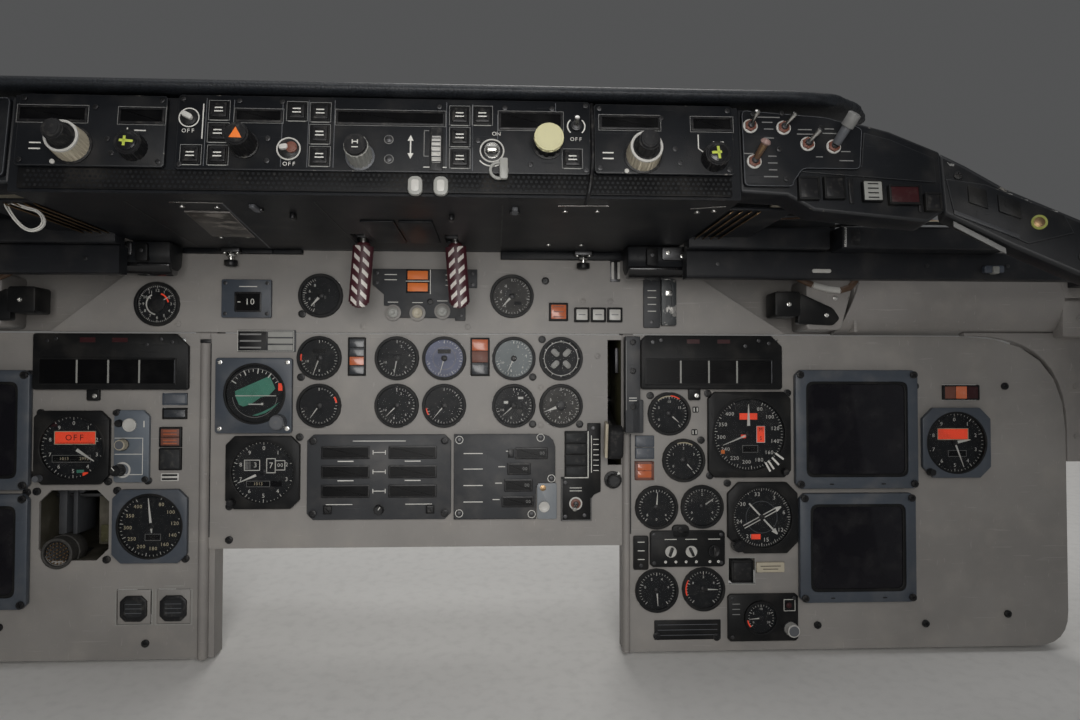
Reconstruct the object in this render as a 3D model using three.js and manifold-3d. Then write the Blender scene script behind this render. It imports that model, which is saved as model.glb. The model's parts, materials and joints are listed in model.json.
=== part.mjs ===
// Main instrument panel and glareshield of a narrow-body airliner's flight deck, in millimetres.
// The object's axes are +X to starboard, +Y forward and +Z up, with the origin on the rear face of
// the middle mounting pad. Inside panelFrame x runs across, y up the sloping boards and z out of
// their front face, so z = 0 is that face and y = 0 the seam between the upper and lower boards.
import * as THREE from 'three';
import { mergeVertices } from 'three/addons/utils/BufferGeometryUtils.js';
import Module from 'manifold-3d';

const wasm = await Module();
wasm.setup();

// Driving dimensions
const panelTilt = THREE.MathUtils.degToRad(10);
const origin = { forward: 72, up: 125 };
const sheet = 4;
const seat = 0.3;
const board = { outer: 775, bottom: -368, seam: 0.9, corner: 40, flange: 3, flangeDepth: 24 };
const shoulder = { x: 650, y: -115 };
const upper = { port: -410, starboard: 434, half: 304, shoulder: 84, top: 160 };
const centerBottom = -245;
const postPort = { from: -243, to: -232, bar: [-250, -226], strip: { x: -237.5, half: 5.2, top: -12 } };
const postStarboard = { from: 240, to: 244, bar: [241.5, 253.5], strip: { x: 244.5, half: 4.2, top: -116 } };
const rail = { half: 765, low: 118, high: 150, back: -40 };
const pad = { forward: 72, width: 120, side: 670 };
const rib = { from: 735, to: 760, back: -44 };
const lowerPad = { low: -340, high: -300, width: 92, past: 6 };
const gauge = { radius: 25.25, dial: 21.5, out: 4, sunk: 3, sides: 20, play: 0.35 };
const emptyBay = { x: -380.5, y: -217.4, width: 76.6, height: 79, corner: 13, depth: 150, tray: 82, wall: 2 };
const gear = { x: 227, pivotY: -79.4, pivotZ: -120, knobY: -115, knobZ: 35, axle: 6 };
const dimKnob = { x: 228.6, y: -169, radius: 10, shaft: 5 };
const housing = { half: 296, floor: 95, wall: 4, rear: 0.3 };
const housingFront = { low: 293, high: 282, top: 176, rearTop: 224 };
const faceTilt = THREE.MathUtils.degToRad(7.7);
const faceOrigin = { y: 200, z: 280 };
const faceRow = { center: -55.2, case: 52 };
const wing = { hinge: 468, sweep: THREE.MathUtils.degToRad(18), thick: 30, face: -2 };
const cover = { half: 457, straight: 340, side: 180, front: 301, rear: -60 };
const fireHandle = { top: 91, bottom: 24, z: 60, radius: 11.5, flat: 0.6, stem: 4.5 };
const handleTravel = { half: 7, out: 45 };

const finish = {
  boardGrey: { color: 0x8f8b86, roughness: 0.62, metalness: 0.1 },
  ledgeGrey: { color: 0xa19d99, roughness: 0.7, metalness: 0.05 },
  bezelBlue: { color: 0x4a5568, roughness: 0.55, metalness: 0.15 },
  bezelBlack: { color: 0x1b1c1e, roughness: 0.5, metalness: 0.1 },
  shieldBlack: { color: 0x24262a, roughness: 0.6, metalness: 0.2 },
  padBlack: { color: 0x1a1d22, roughness: 0.8, metalness: 0 },
  plateGrey: { color: 0x55585c, roughness: 0.55, metalness: 0.2 },
  caseMetal: { color: 0x6f7276, roughness: 0.45, metalness: 0.7 },
  handleRed: { color: 0x4d1820, roughness: 0.5, metalness: 0 },
};

// Solids
const axisX = new THREE.Vector3(1, 0, 0);
const axisY = new THREE.Vector3(0, 1, 0);
const axisZ = new THREE.Vector3(0, 0, 1);

function solid(geometry) {
  geometry.deleteAttribute('normal');
  geometry.deleteAttribute('uv');
  const merged = mergeVertices(geometry, 1e-4);
  const vertProperties = Float32Array.from(merged.attributes.position.array);
  const triVerts = Uint32Array.from(merged.index.array);
  return new wasm.Manifold(new wasm.Mesh({ numProp: 3, vertProperties, triVerts }));
}

function geometryOf(body) {
  const { vertProperties, triVerts } = body.getMesh();
  const geometry = new THREE.BufferGeometry();
  geometry.setAttribute('position', new THREE.BufferAttribute(vertProperties, 3));
  geometry.setIndex(new THREE.BufferAttribute(triVerts, 1));
  return geometry;
}

function block(x0, x1, y0, y1, z0, z1) {
  const geometry = new THREE.BoxGeometry(x1 - x0, y1 - y0, z1 - z0);
  return solid(geometry.translate((x0 + x1) / 2, (y0 + y1) / 2, (z0 + z1) / 2));
}

// A block given by its middle, width and height in the board's plane
function tile(x, y, width, height, z0, z1) {
  return block(x - width / 2, x + width / 2, y - height / 2, y + height / 2, z0, z1);
}

function disc(x, y, radius, z0, z1, sides = 24, topRadius = radius) {
  const geometry = new THREE.CylinderGeometry(topRadius, radius, z1 - z0, sides);
  return solid(geometry.rotateX(Math.PI / 2).translate(x, y, (z0 + z1) / 2));
}

function shapeOf(points) {
  return new THREE.Shape(points.map(([x, y]) => new THREE.Vector2(x, y)));
}

function prism(shape, z0, z1) {
  const options = { depth: z1 - z0, bevelEnabled: false, curveSegments: 6 };
  return solid(new THREE.ExtrudeGeometry(shape, options).translate(0, 0, z0));
}

// A bar along x whose section is drawn in y and z
function beam(section, [x0, x1]) {
  const geometry = new THREE.ExtrudeGeometry(shapeOf(section), { depth: x1 - x0, bevelEnabled: false });
  const turn = new THREE.Matrix4().makeBasis(axisY, axisZ, axisX);
  return solid(geometry.applyMatrix4(turn).translate(x0, 0, 0));
}

// A bar between two points; flat squeezes its round section along z
function rod(from, to, { radius, sides = 8, endRadius = radius, flat = 1 }) {
  const start = new THREE.Vector3(...from);
  const end = new THREE.Vector3(...to);
  const geometry = new THREE.CylinderGeometry(endRadius, radius, start.distanceTo(end), sides);
  const turn = new THREE.Quaternion().setFromUnitVectors(axisY, end.clone().sub(start).normalize());
  const middle = start.add(end).multiplyScalar(0.5);
  return solid(geometry.scale(1, 1, flat).applyQuaternion(turn).translate(middle.x, middle.y, middle.z));
}

function join(parts) {
  return parts.reduce((whole, part) => whole.add(part));
}

function cut(whole, parts) {
  return parts.reduce((rest, part) => rest.subtract(part), whole);
}

// Outline of a rectangle with cut corners: [top left, top right, bottom right, bottom left]
function cutRectangle(width, height, corners, x = 0, y = 0) {
  const sizes = Array.isArray(corners) ? corners : Array(4).fill(corners);
  const [topLeft, topRight, bottomRight, bottomLeft] = sizes;
  const left = x - width / 2;
  const right = x + width / 2;
  const low = y - height / 2;
  const high = y + height / 2;
  return [
    [left + bottomLeft, low], [right - bottomRight, low], [right, low + bottomRight],
    [right, high - topRight], [right - topRight, high], [left + topLeft, high], [left, high - topLeft],
    [left, low + bottomLeft],
  ];
}

// Port is side -1 and starboard side 1
function onSide(side, points) {
  return points.map(([x, y]) => [side * x, y]);
}

function span(side, a, b) {
  return [side * a, side * b].sort((p, q) => p - q);
}

// Turns a length forward and a height, measured level, into y and z of the sloping panel
function levelPoint(forward, up) {
  const sine = Math.sin(panelTilt);
  const cosine = Math.cos(panelTilt);
  return [forward * sine + up * cosine, up * sine - forward * cosine];
}

function levelHeight(y, z) {
  return y * Math.cos(panelTilt) + z * Math.sin(panelTilt);
}

// Nodes
const panelFrame = new THREE.Group();
panelFrame.rotation.x = Math.PI / 2 - panelTilt;
panelFrame.position.set(0, -origin.forward, -origin.up);
const faceFrame = new THREE.Group();
faceFrame.rotation.x = -faceTilt;
faceFrame.position.set(0, faceOrigin.y, faceOrigin.z);
panelFrame.add(faceFrame);
const group = new THREE.Group();
group.add(panelFrame);

function addNode(name, body, look, parent = panelFrame, x = 0, y = 0) {
  const mesh = new THREE.Mesh(geometryOf(body), new THREE.MeshStandardMaterial(finish[look]));
  mesh.name = name;
  mesh.position.set(x, y, 0);
  parent.add(mesh);
}

// A unit is a faceplate in front of its board with a case behind, drawn about its own middle.
// size: width, height, or outline: points; corners: cut corners; thick: faceplate;
// box: case width, height, depth; dials: x, y, radius, sunk; windows: x, y, width, height, sunk;
// keys: x, y, width, height, out; knobs: x, y, radius, out, top radius;
// levers: x, y, lean across, lean up; steps: x, y, width, height, top, standing on the board
function unitBody(unit) {
  const { size, outline, corners = 2, thick = 6, box, dials = [], windows = [] } = unit;
  const { keys = [], knobs = [], levers = [], steps = [] } = unit;
  const face = prism(shapeOf(outline ?? cutRectangle(...size, corners)), seat, thick);
  const back = tile(0, 0, box[0], box[1], -box[2], seat + 1);
  const carved = cut(face.add(back), [
    ...dials.map(([x, y, radius, sunk]) => disc(x, y, radius, thick - sunk, thick + 1)),
    ...windows.map(([x, y, width, height, sunk]) => tile(x, y, width, height, thick - sunk, thick + 1)),
  ]);
  return join([
    carved,
    ...keys.map(([x, y, width, height, out]) => tile(x, y, width, height, thick - 1, thick + out)),
    ...knobs.map(([x, y, radius, out, top]) => disc(x, y, radius, thick - 1, thick + out, 12, top)),
    ...levers.map(([x, y, across, up]) => toggle(x, y, thick, across, up)),
    ...steps.map(([x, y, width, height, top]) => tile(x, y, width, height, seat, top)),
  ]);
}

// A toggle switch: a round nut on its plate and a lever that widens to its tip
function toggle(x, y, z, across, up) {
  const lever = rod([x, y, z], [x + across, y + up, z + 17], { radius: 1.8, sides: 6, endRadius: 2.8 });
  return disc(x, y, 6, z - 1, z + 3, 8).add(lever);
}

function hole(x, y, width, height) {
  return tile(x, y, width + 2 * seat, height + 2 * seat, -sheet - 1, 1);
}

function unitHole(unit) {
  return hole(unit.x, unit.y, unit.box[0], unit.box[1]);
}

function gaugeHole([x, y]) {
  return disc(x, y, gauge.radius + gauge.play, -sheet - 1, 1, gauge.sides);
}

// Round gauges with sunk dials, held together by straps behind; strap: x0, x1, y0, y1
function gaugeRack(places, depth, straps) {
  const bodies = places.map(([x, y]) => disc(x, y, gauge.radius, -depth, gauge.out, gauge.sides)
    .subtract(disc(x, y, gauge.dial, gauge.out - gauge.sunk, gauge.out + 1, gauge.sides)));
  return join([...bodies, ...straps.map((strap) => block(...strap, -depth - 2, -depth + 2))]);
}

// Lights and keys in a row or column share a strap behind the board; list: x, y, width, height, out
const lightDepth = 36;
function lightBody(list, strap) {
  return join([
    ...list.map(([x, y, width, height, out]) => tile(x, y, width, height, -lightDepth, out)),
    block(...strap, -lightDepth - 4, -lightDepth + 1),
  ]);
}

function lightHoles(list) {
  return list.map(([x, y, width, height]) => hole(x, y, width, height));
}

// Instruments: the displays, the square three inch cases and the mode annunciators
const display = {
  size: [147, 134], corners: 6, thick: 9, box: [140, 118, 190], windows: [[0, 0, 122, 108, 4]],
};
const threeInch = { size: [82.7, 82.7], corners: 13, thick: 7, box: [76, 76, 150], dials: [[0, 0, 37, 4]] };
const modeLights = {
  size: [171, 63.5], corners: [12, 12, 2, 2], thick: 7, box: [160, 54, 90],
  windows: [[0, -13.5, 148, 24, 3]], steps: [[-20, -37, 14, 12, 5]],
};

const captainUnits = [
  { ...display, name: 'captain_primary_display', x: -500.4, y: -110, look: 'bezelBlue' },
  { ...display, name: 'captain_navigation_display', x: -500.4, y: -245, look: 'bezelBlue', size: [147, 128] },
  { ...modeLights, name: 'captain_mode_annunciator', x: -339.9, y: -33.2, look: 'bezelBlack' },
  { ...threeInch, name: 'captain_altimeter', x: -381.8, y: -129.8, look: 'bezelBlack',
    knobs: [[-34, -34, 4, 9]] },
  { ...threeInch, name: 'captain_outboard_altimeter', x: -621, y: -127, look: 'bezelBlack' },
  { ...threeInch, name: 'captain_airspeed_indicator', x: -295.1, y: -218.2, look: 'bezelBlue', corners: 10 },
  { name: 'captain_selector_panel', x: -316.3, y: -128.5, look: 'bezelBlue', size: [38.7, 81.2], corners: 7,
    box: [32, 74, 70], knobs: [[-5, 4, 7, 12], [-6, -25, 8, 13]], keys: [[2, 23, 9, 9, 4]] },
];
const firstOfficerUnits = [
  { ...display, name: 'first_officer_primary_display', x: 516.2, y: -110.7, look: 'bezelBlue',
    size: [147, 139] },
  { ...display, name: 'first_officer_navigation_display', x: 516.5, y: -249, look: 'bezelBlue',
    size: [139, 127], box: [132, 118, 190], windows: [[0, 0, 114, 102, 4]] },
  { ...modeLights, name: 'first_officer_mode_annunciator', x: 344.5, y: -32.6, look: 'bezelBlack',
    size: [166.8, 62.9] },
  { name: 'first_officer_airspeed_indicator', x: 388.9, y: -116.8, look: 'bezelBlack', size: [98, 100],
    corners: 8, thick: 7, box: [88, 88, 160], dials: [[0, 0, 44, 4]], knobs: [[40, -43, 4, 9]] },
  { ...threeInch, name: 'radio_magnetic_indicator', x: 404, y: -213.6, look: 'bezelBlack',
    knobs: [[-31, -31, 4.5, 10]] },
  { ...threeInch, name: 'first_officer_outboard_altimeter', x: 637.4, y: -127, look: 'bezelBlack' },
  { name: 'hydraulic_control_panel', x: 315.6, y: -249, look: 'bezelBlack', size: [87.8, 41.7], corners: 3,
    thick: 5, box: [80, 34, 60], knobs: [[-20, -3, 5.5, 8], [4, -2.5, 5.5, 8], [31, -3, 6.5, 10]],
    steps: [[-8, 20, 20, 14, 5], [-54.4, -4.5, 17.6, 39, 4], [-48, 0, 16, 16, 3]] },
  { name: 'oxygen_panel', x: 404.2, y: -329.4, look: 'bezelBlack', size: [83, 54.5], corners: 3, thick: 5,
    box: [76, 46, 70], dials: [[-3, 0, 18, 3]], knobs: [[32, -13, 8, 12]] },
];
const fuelPlate = [
  [-48, -48.8], [46, -48.8], [46, -13], [49, -7.4], [68.4, -7], [68.4, 34], [66, 41], [61, 46.5], [53, 48.8],
  [-48, 48.8],
];
const brakePlate = [
  [-23.2, -50.4], [13, -50.4], [13, -24], [15.5, -20], [23.4, -16.6], [23.4, 63], [7.8, 63], [7.8, 54], [-19, 54],
  [-19, 0.4], [-23.2, 0.4],
];
const centerUnits = [
  { ...threeInch, name: 'standby_horizon', x: -181.5, y: -71.4, look: 'bezelBlue', size: [85.8, 85.6],
    corners: 2, dials: [[1, 2, 34, 5]], knobs: [[29.3, -30, 9, 14, 8.4]] },
  { ...threeInch, name: 'standby_altimeter', x: -170.8, y: -158.5, look: 'bezelBlack',
    knobs: [[-33, -33, 4.5, 10]] },
  { name: 'engine_data_panel', x: -40, y: -164.3, look: 'plateGrey', size: [163, 96.8], corners: 7, thick: 5,
    box: [150, 86, 120],
    windows: [28, 6, -16].flatMap((y) => [-38, 38].map((x) => [x, y, 52, 12, 3])) },
  { name: 'fuel_quantity_panel', x: 93, y: -164.3, look: 'plateGrey', outline: fuelPlate, thick: 5,
    box: [84, 86, 120], steps: [[58.8, -28.6, 23, 41.4, 4.6]], knobs: [[55.7, -35, 6.2, 3]],
    windows: [
      [40.9, 26.4, 36, 11.8, 3], [26.6, 8.6, 26, 11.8, 3], [26, -10.2, 31.5, 12.8, 3], [25.2, -29, 36, 11, 3],
    ] },
  { name: 'brake_and_warning_panel', x: 191.2, y: -166, look: 'bezelBlack', outline: brakePlate, thick: 4,
    box: [24, 90, 60], keys: [45.7, 33, 20, 7].map((y) => [-5.8, y, 24.4, 12, 3]), levers: [[-6, -30, -2, -7]] },
];
const firePlate = [
  [-59, 27], [-59, 8], [-46, -3], [-46, -16], [-34, -16], [-34, -30], [36, -30], [36, -33], [48, -33],
  [48, 5], [61.5, 5], [61.5, 27],
];
const upperUnits = [
  { name: 'air_temperature_indicator', x: -190.9, y: 38.9, look: 'bezelBlue', size: [55.7, 43.6], corners: 1,
    box: [46, 36, 120], windows: [[2, -4, 29, 22, 3]] },
  { name: 'instrument_source_selector', x: 284.3, y: 39.2, look: 'plateGrey', size: [38.6, 63], corners: 1,
    thick: 3, box: [30, 54, 60], keys: [[9.6, 0, 15, 52, 4]] },
  { name: 'fire_control_panel', x: 9.7, y: 47.7, look: 'plateGrey', outline: firePlate, thick: 4,
    box: [80, 44, 110], keys: [[-7, 19.5, 27, 13, 3], [-7, 5.2, 27, 13, 3]],
    knobs: [[-36, -23, 8, 9, 7], [-8, -24, 8, 9, 7], [19.5, -23.5, 8, 9, 7]] },
];

// Columns of the light lists: x, y, width, height, out
const captainLights = [
  [-270.6, -75.5, 27, 13.4, 3], [-270.6, -91.9, 27, 12.4, 3], [-274.7, -118.5, 24.4, 22.6, 4],
  [-274.7, -143.4, 24.4, 24.6, 4],
];
const captainKeys = [[-313.2, -309.3, 38, 39, 4], [-269.5, -309.3, 36, 39, 4]];
const firstOfficerLights = [
  [266.1, -124.5, 22, 12.6, 3], [266.1, -138.5, 22, 12.6, 3], [265.6, -158.7, 22, 21.6, 4],
];
const firstOfficerKey = [[380.4, -276.3, 32, 31, 4], [414, -272, 33, 11.6, 2.5]];
const upperLights = [[165.5, 25.9, 22, 21, 3], ...[192.5, 211.8, 231.1].map((x) => [x, 22.6, 16.5, 16.5, 5])];
const warningLight = [[645.4, -67.6, 44, 17.9, 4]];
const engineLights = [[-66.7, -26.7, 20, 44, 3], [74.3, -26.7, 22, 44, 3]];

// Columns of the gauge lists: x, y
const engineGauges = [-28.5, -83.2].flatMap((y) => [-109.3, -21, 33.2, 113.5, 168.4].map((x) => [x, y]));
const systemGauges = [
  [295.2, -92.6], [312, -147], [279.9, -201.6], [333.6, -201], [280, -297.6], [334.8, -296.6],
];
const upperGauges = [[-291.9, 32.4], [-108.3, 43.1], [111.1, 43.8]];

// Boards
function sideBoardShape(side, inner) {
  const { outer, bottom, corner } = board;
  const shape = new THREE.Shape();
  shape.moveTo(side * inner, bottom);
  shape.lineTo(side * (outer - corner), bottom);
  shape.quadraticCurveTo(side * outer, bottom, side * outer, bottom + corner);
  shape.lineTo(side * outer, shoulder.y);
  shape.quadraticCurveTo(side * outer, -board.seam, side * shoulder.x, -board.seam);
  shape.lineTo(side * inner, -board.seam);
  return shape;
}

function flange([x0, x1], y) {
  return block(x0, x1, y, y + board.flange, -board.flangeDepth, -sheet + 0.5);
}

// The end rib stands behind a side board and carries a level-faced mounting pad
function endRib(side) {
  const { low, high } = lowerPad;
  const ribSpan = span(side, rib.from, rib.to);
  const padSpan = span(side, pad.side, pad.side + lowerPad.width);
  const forward = -rib.back * Math.cos(panelTilt) + high * Math.sin(panelTilt) + lowerPad.past;
  const padFace = [high, low].map((y) => levelPoint(forward, levelHeight(y, rib.back)));
  return join([
    block(...ribSpan, board.bottom + 12, -155, rib.back, -sheet + 0.5),
    block(...ribSpan, -156, rail.low - seat, rib.back, -15),
    beam([[low, -20], [high, -20], ...padFace], padSpan),
    block(...padSpan, low, high, -30, -sheet + 0.5),
  ]);
}

function sideBoard(side, inner, holes) {
  const plate = prism(sideBoardShape(side, inner), -sheet, 0);
  const edge = span(side, inner + 11, board.outer - board.corner);
  return join([cut(plate, holes), flange(edge, board.bottom), endRib(side)]);
}

const bayOutline = cutRectangle(emptyBay.width, emptyBay.height, emptyBay.corner, emptyBay.x, emptyBay.y);
addNode('captain_board', sideBoard(-1, -postPort.from + seat, [
  ...captainUnits.map(unitHole),
  ...lightHoles(captainLights),
  ...lightHoles(captainKeys),
  prism(shapeOf(bayOutline), -sheet - 1, 1),
]), 'boardGrey');

addNode('first_officer_board', sideBoard(1, postStarboard.to + seat, [
  ...firstOfficerUnits.map(unitHole),
  ...lightHoles(firstOfficerLights),
  ...lightHoles(firstOfficerKey),
  ...lightHoles(warningLight),
  ...systemGauges.map(gaugeHole),
]), 'boardGrey');

// The centre board has the gear lever's slot, with a cheek beside it for the lever's axle
const centerEdges = [postPort.to + seat, postStarboard.from - seat];
const centerPlate = block(...centerEdges, centerBottom, -board.seam, -sheet, 0);
const gearCheek = block(206, 213, gear.pivotY - 18, gear.pivotY + 18, gear.pivotZ - 14, -sheet + 0.5);
const gearBore = rod([200, gear.pivotY, gear.pivotZ], [220, gear.pivotY, gear.pivotZ],
  { radius: gear.axle + 0.4, sides: 16 });
addNode('center_board', join([
  cut(centerPlate, [
    ...centerUnits.map(unitHole),
    ...engineGauges.map(gaugeHole),
    ...lightHoles(engineLights),
    block(215.2, 239, -152, -6.5, -sheet - 1, 1),
    disc(dimKnob.x, dimKnob.y, dimKnob.shaft + seat, -sheet - 1, 1, 12),
  ]),
  cut(gearCheek, [gearBore]),
  flange([-225, 204], centerBottom),
]), 'boardGrey');

const upperOutline = [
  [upper.port, board.seam], [upper.starboard, board.seam], [upper.half, upper.shoulder],
  [upper.half, upper.top], [-upper.half, upper.top], [-upper.half, upper.shoulder],
];
addNode('upper_board', cut(prism(shapeOf(upperOutline), -sheet, 0), [
  ...upperUnits.map(unitHole),
  ...lightHoles(upperLights),
  ...upperGauges.map(gaugeHole),
]), 'boardGrey');

for (const unit of [...captainUnits, ...firstOfficerUnits, ...centerUnits, ...upperUnits]) {
  addNode(unit.name, unitBody(unit), unit.look, panelFrame, unit.x, unit.y);
}

const gaugeDepth = 90;
const deepGauge = 125;
addNode('engine_gauge_rack', join([
  gaugeRack(engineGauges, gaugeDepth, [
    [-128, 188, -64, -48], [-120, -99, -83, -28], [-32, 44, -83, -28], [103, 179, -83, -28],
  ]),
  ...engineLights.map(([x, y, width, height, out]) => tile(x, y, width, height, -gaugeDepth, out)),
]), 'bezelBlack');
addNode('system_gauge_rack', gaugeRack(systemGauges, gaugeDepth, [[288, 324, -310, -80]]), 'bezelBlack');
addNode('upper_gauge_rack', gaugeRack(upperGauges, deepGauge, [[-302, 122, 34, 50]]), 'bezelBlack');
addNode('captain_status_lights', lightBody(captainLights, [-280, -264, -150, -74]), 'bezelBlue');
addNode('captain_push_buttons', lightBody(captainKeys, [-322, -262, -316, -302]), 'bezelBlack');
addNode('first_officer_status_lights', lightBody(firstOfficerLights, [260, 272, -162, -122]), 'plateGrey');
addNode('first_officer_push_button', lightBody(firstOfficerKey, [370, 422, -276, -268]), 'bezelBlack');
addNode('upper_push_lights', lightBody(upperLights, [160, 236, 18, 27]), 'bezelBlack');
addNode('first_officer_warning_light', lightBody(warningLight, [640, 650, -70, -65]), 'bezelBlack');
addNode('lever_dim_knob', join([
  disc(dimKnob.x, dimKnob.y, dimKnob.radius, seat, 5, 20),
  disc(dimKnob.x, dimKnob.y, 7.5, 4, 15, 16, 6.5),
  disc(dimKnob.x, dimKnob.y, dimKnob.shaft, -22, 1, 12),
]), 'bezelBlack');

// The bay whose instrument is out: a tray, and the connector that hangs in it on its cable
function trayBox(inset, z0, z1) {
  const half = emptyBay.tray / 2 - inset;
  return block(emptyBay.x - half, emptyBay.x + half, emptyBay.y - half - 1, emptyBay.y + half + 1, z0, z1);
}
const plug = { x: emptyBay.x + 5, y: emptyBay.y - 20, radius: 15, cable: 10, front: -16, back: -40 };
const tray = trayBox(0, -emptyBay.depth, -sheet - seat);
const trayInside = trayBox(emptyBay.wall, -emptyBay.depth + emptyBay.wall, 1);
addNode('empty_instrument_tray', join([
  tray.subtract(trayInside),
  disc(plug.x, plug.y, plug.radius, plug.back, plug.front, 16),
  disc(plug.x, plug.y, plug.cable, -emptyBay.depth + 1, plug.back + 1, 12),
]), 'caseMetal');

// Posts, rail and mounting pads
function post({ from, to, bar, strip }) {
  const bead = rod([strip.x, board.bottom, 0], [strip.x, strip.top, 0], { radius: strip.half, sides: 16 });
  return join([
    cut(bead, [block(strip.x - 9, strip.x + 9, board.bottom - 1, strip.top + 1, -9, seat)]),
    block(from, to, board.bottom, -board.seam, -sheet - 1, 0.6),
    block(...bar, board.bottom, rail.low - seat, -34, -sheet - seat),
  ]);
}
addNode('captain_post', post(postPort), 'ledgeGrey');
addNode('first_officer_post', post(postStarboard), 'ledgeGrey');

const padFace = [rail.high, rail.low].map((y) => levelPoint(pad.forward, levelHeight(y, rail.back)));
const railPads = [0, -pad.side, pad.side].map((x) => beam(
  [[rail.low, rail.back + 1], [rail.high, rail.back + 1], ...padFace],
  [x - pad.width / 2, x + pad.width / 2],
));
addNode('upper_rail', join([
  block(-rail.half, rail.half, rail.low, rail.high, rail.back, -sheet - seat),
  ...railPads,
]), 'caseMetal');

// Side ledges: a rounded cover beyond the boards, and beside it a recess with a lug and its arm
const ledgeTop = rail.low - seat;
const coverSection = [
  [0.6, -14], [6, 4], [16, 14], [32, 20], [52, 20], [74, 13], [96, 2], [ledgeTop, -sheet - seat],
  [ledgeTop, -9], [96, -4], [74, 8], [52, 15], [32, 15], [18, 9], [10, 0], [6, -14],
];
const recessOutline = [[322, 3], [515, 3], [515, ledgeTop], [306, ledgeTop], [306, 62], [322, 62]];
function ledge(side) {
  const edge = board.outer + 0.6;
  const skirt = new THREE.Shape();
  skirt.moveTo(side * edge, shoulder.y);
  skirt.quadraticCurveTo(side * edge, -0.3, side * shoulder.x, -0.3);
  skirt.lineTo(side * shoulder.x, 4);
  skirt.lineTo(side * 800, 4);
  skirt.lineTo(side * 800, -150);
  skirt.lineTo(side * edge, -150);
  return join([
    beam(coverSection, span(side, 512, 790)),
    prism(skirt, -10, 2),
    block(...span(side, 760, 800), -2, ledgeTop, -14, 20),
    prism(shapeOf(onSide(side, recessOutline)), -34, -30),
    block(...span(side, 511, 515), 3, ledgeTop, -34, 14),
    block(...span(side, 306, 515), ledgeTop - 12, ledgeTop, -34, -sheet - seat),
    block(...span(side, 452, 506), 5, 64, -31, 22),
    block(...span(side, 440, 505), 18, 48, -10, 26),
    rod([side * 418, 46, 12], [side * 500, 26, 24], { radius: 7 }),
  ]);
}
addNode('captain_side_ledge', ledge(-1), 'ledgeGrey');
addNode('first_officer_side_ledge', ledge(1), 'ledgeGrey');

// Glareshield housing: an open-topped tray whose front wall leans back
const fireHandles = [
  { name: 'left_fire_handle', topX: -49.7, bottomX: -57.1 },
  { name: 'right_fire_handle', topX: 45.7, bottomX: 55.6 },
];
const faceUnits = [
  { name: 'captain_navigation_selector', x: -232.2, caseWidth: 108 },
  { name: 'flight_guidance_panel', x: 2.5, caseWidth: 326 },
  { name: 'first_officer_navigation_selector', x: 231.9, caseWidth: 108 },
];

function housingSection(wall) {
  const { low, high, top, rearTop } = housingFront;
  const rise = wall > 0 ? 30 : 0;
  return [
    [housing.floor + wall, housing.rear + wall], [housing.floor + wall, low - wall],
    [top + rise, high - wall - rise / 6], [rearTop + rise, housing.rear + wall],
  ];
}

function faceHole({ x, caseWidth }) {
  const opening = tile(x, faceRow.center, caseWidth + 2 * seat, faceRow.case, -20, 10);
  const turn = new THREE.Matrix4().makeRotationX(-faceTilt).setPosition(0, faceOrigin.y, faceOrigin.z);
  return solid(geometryOf(opening).applyMatrix4(turn));
}

function handleSlot({ topX }) {
  const { half, out } = handleTravel;
  const { z } = fireHandle;
  return block(topX - half, topX + half, housing.floor - 1, housing.floor + housing.wall + 1,
    z - half, z + out + half + 2);
}

addNode('glareshield_housing', cut(beam(housingSection(0), [-housing.half, housing.half]), [
  beam(housingSection(housing.wall), [-housing.half + housing.wall, housing.half - housing.wall]),
  ...faceUnits.map(faceHole),
  ...fireHandles.map(handleSlot),
]), 'shieldBlack');

// Selectors and the guidance panel between them, in the housing's front wall
const navigationSelector = {
  size: [117, 61], thick: 4, box: [108, 51, 150],
  windows: [[-29, 14, 52, 13, 2], [40, 14, 35, 13, 2]],
  knobs: [[-17.5, -13.5, 16, 14, 14], [-17.5, -13.5, 13, 37, 11], [38, -16, 11, 14, 10], [38, -16, 6, 17, 5]],
};
const pushKeys = [
  [-155.5, -19.6], [-134.7, 18.7], [-134.7, -0.4], [-134, -19.6], [-72.4, 19], [-53.5, 18.5], [-53.5, -0.5],
  [-53, -19.5], [59.8, 17.7], [78.4, 18], [60, -0.9], [60.2, -19.5], [152.5, -18.2],
];
const guidancePanel = {
  size: [335.6, 64], thick: 4, box: [326, 51, 150],
  windows: [[-103, 14.5, 38.6, 11.5, 2], [3.5, 14.5, 88.8, 12.7, 2], [118.4, 14, 53, 16, 2]],
  keys: [...pushKeys.map(([x, y]) => [x, y, 15, 15, 2]), [41, -12, 7.4, 33, 6]],
  knobs: [
    [-113.6, -10.8, 11, 22, 9.5], [-78, -13.6, 10, 6, 9], [-20.4, -19.6, 10, 26, 9],
    [86.4, -12.7, 11, 6, 10], [133.2, 0, 13, 16, 12], [156, 10, 7.5, 5, 7], [-159, 10, 7.5, 5, 7],
  ],
};
for (const { name, x } of faceUnits) {
  const unit = name === 'flight_guidance_panel' ? guidancePanel : navigationSelector;
  addNode(name, unitBody(unit), 'shieldBlack', faceFrame, x, faceRow.center);
}

// Warning wings: a flat part in line with the housing's face, then one that sweeps towards the
// pilots; drawn in the face frame, the outer part from its hinge line
const wingInner = [
  [296.3, -98], [343, -110], [455, -122], [470, -112], [470, -60], [427, -42], [404, -36], [372, -31],
  [296.3, -24],
];
const wingOuter = [
  [0, -114], [50, -147], [97, -175], [236, -246], [246, -232], [236, -203], [101, -128], [50, -97], [20, -73],
  [0, -59],
];
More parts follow.
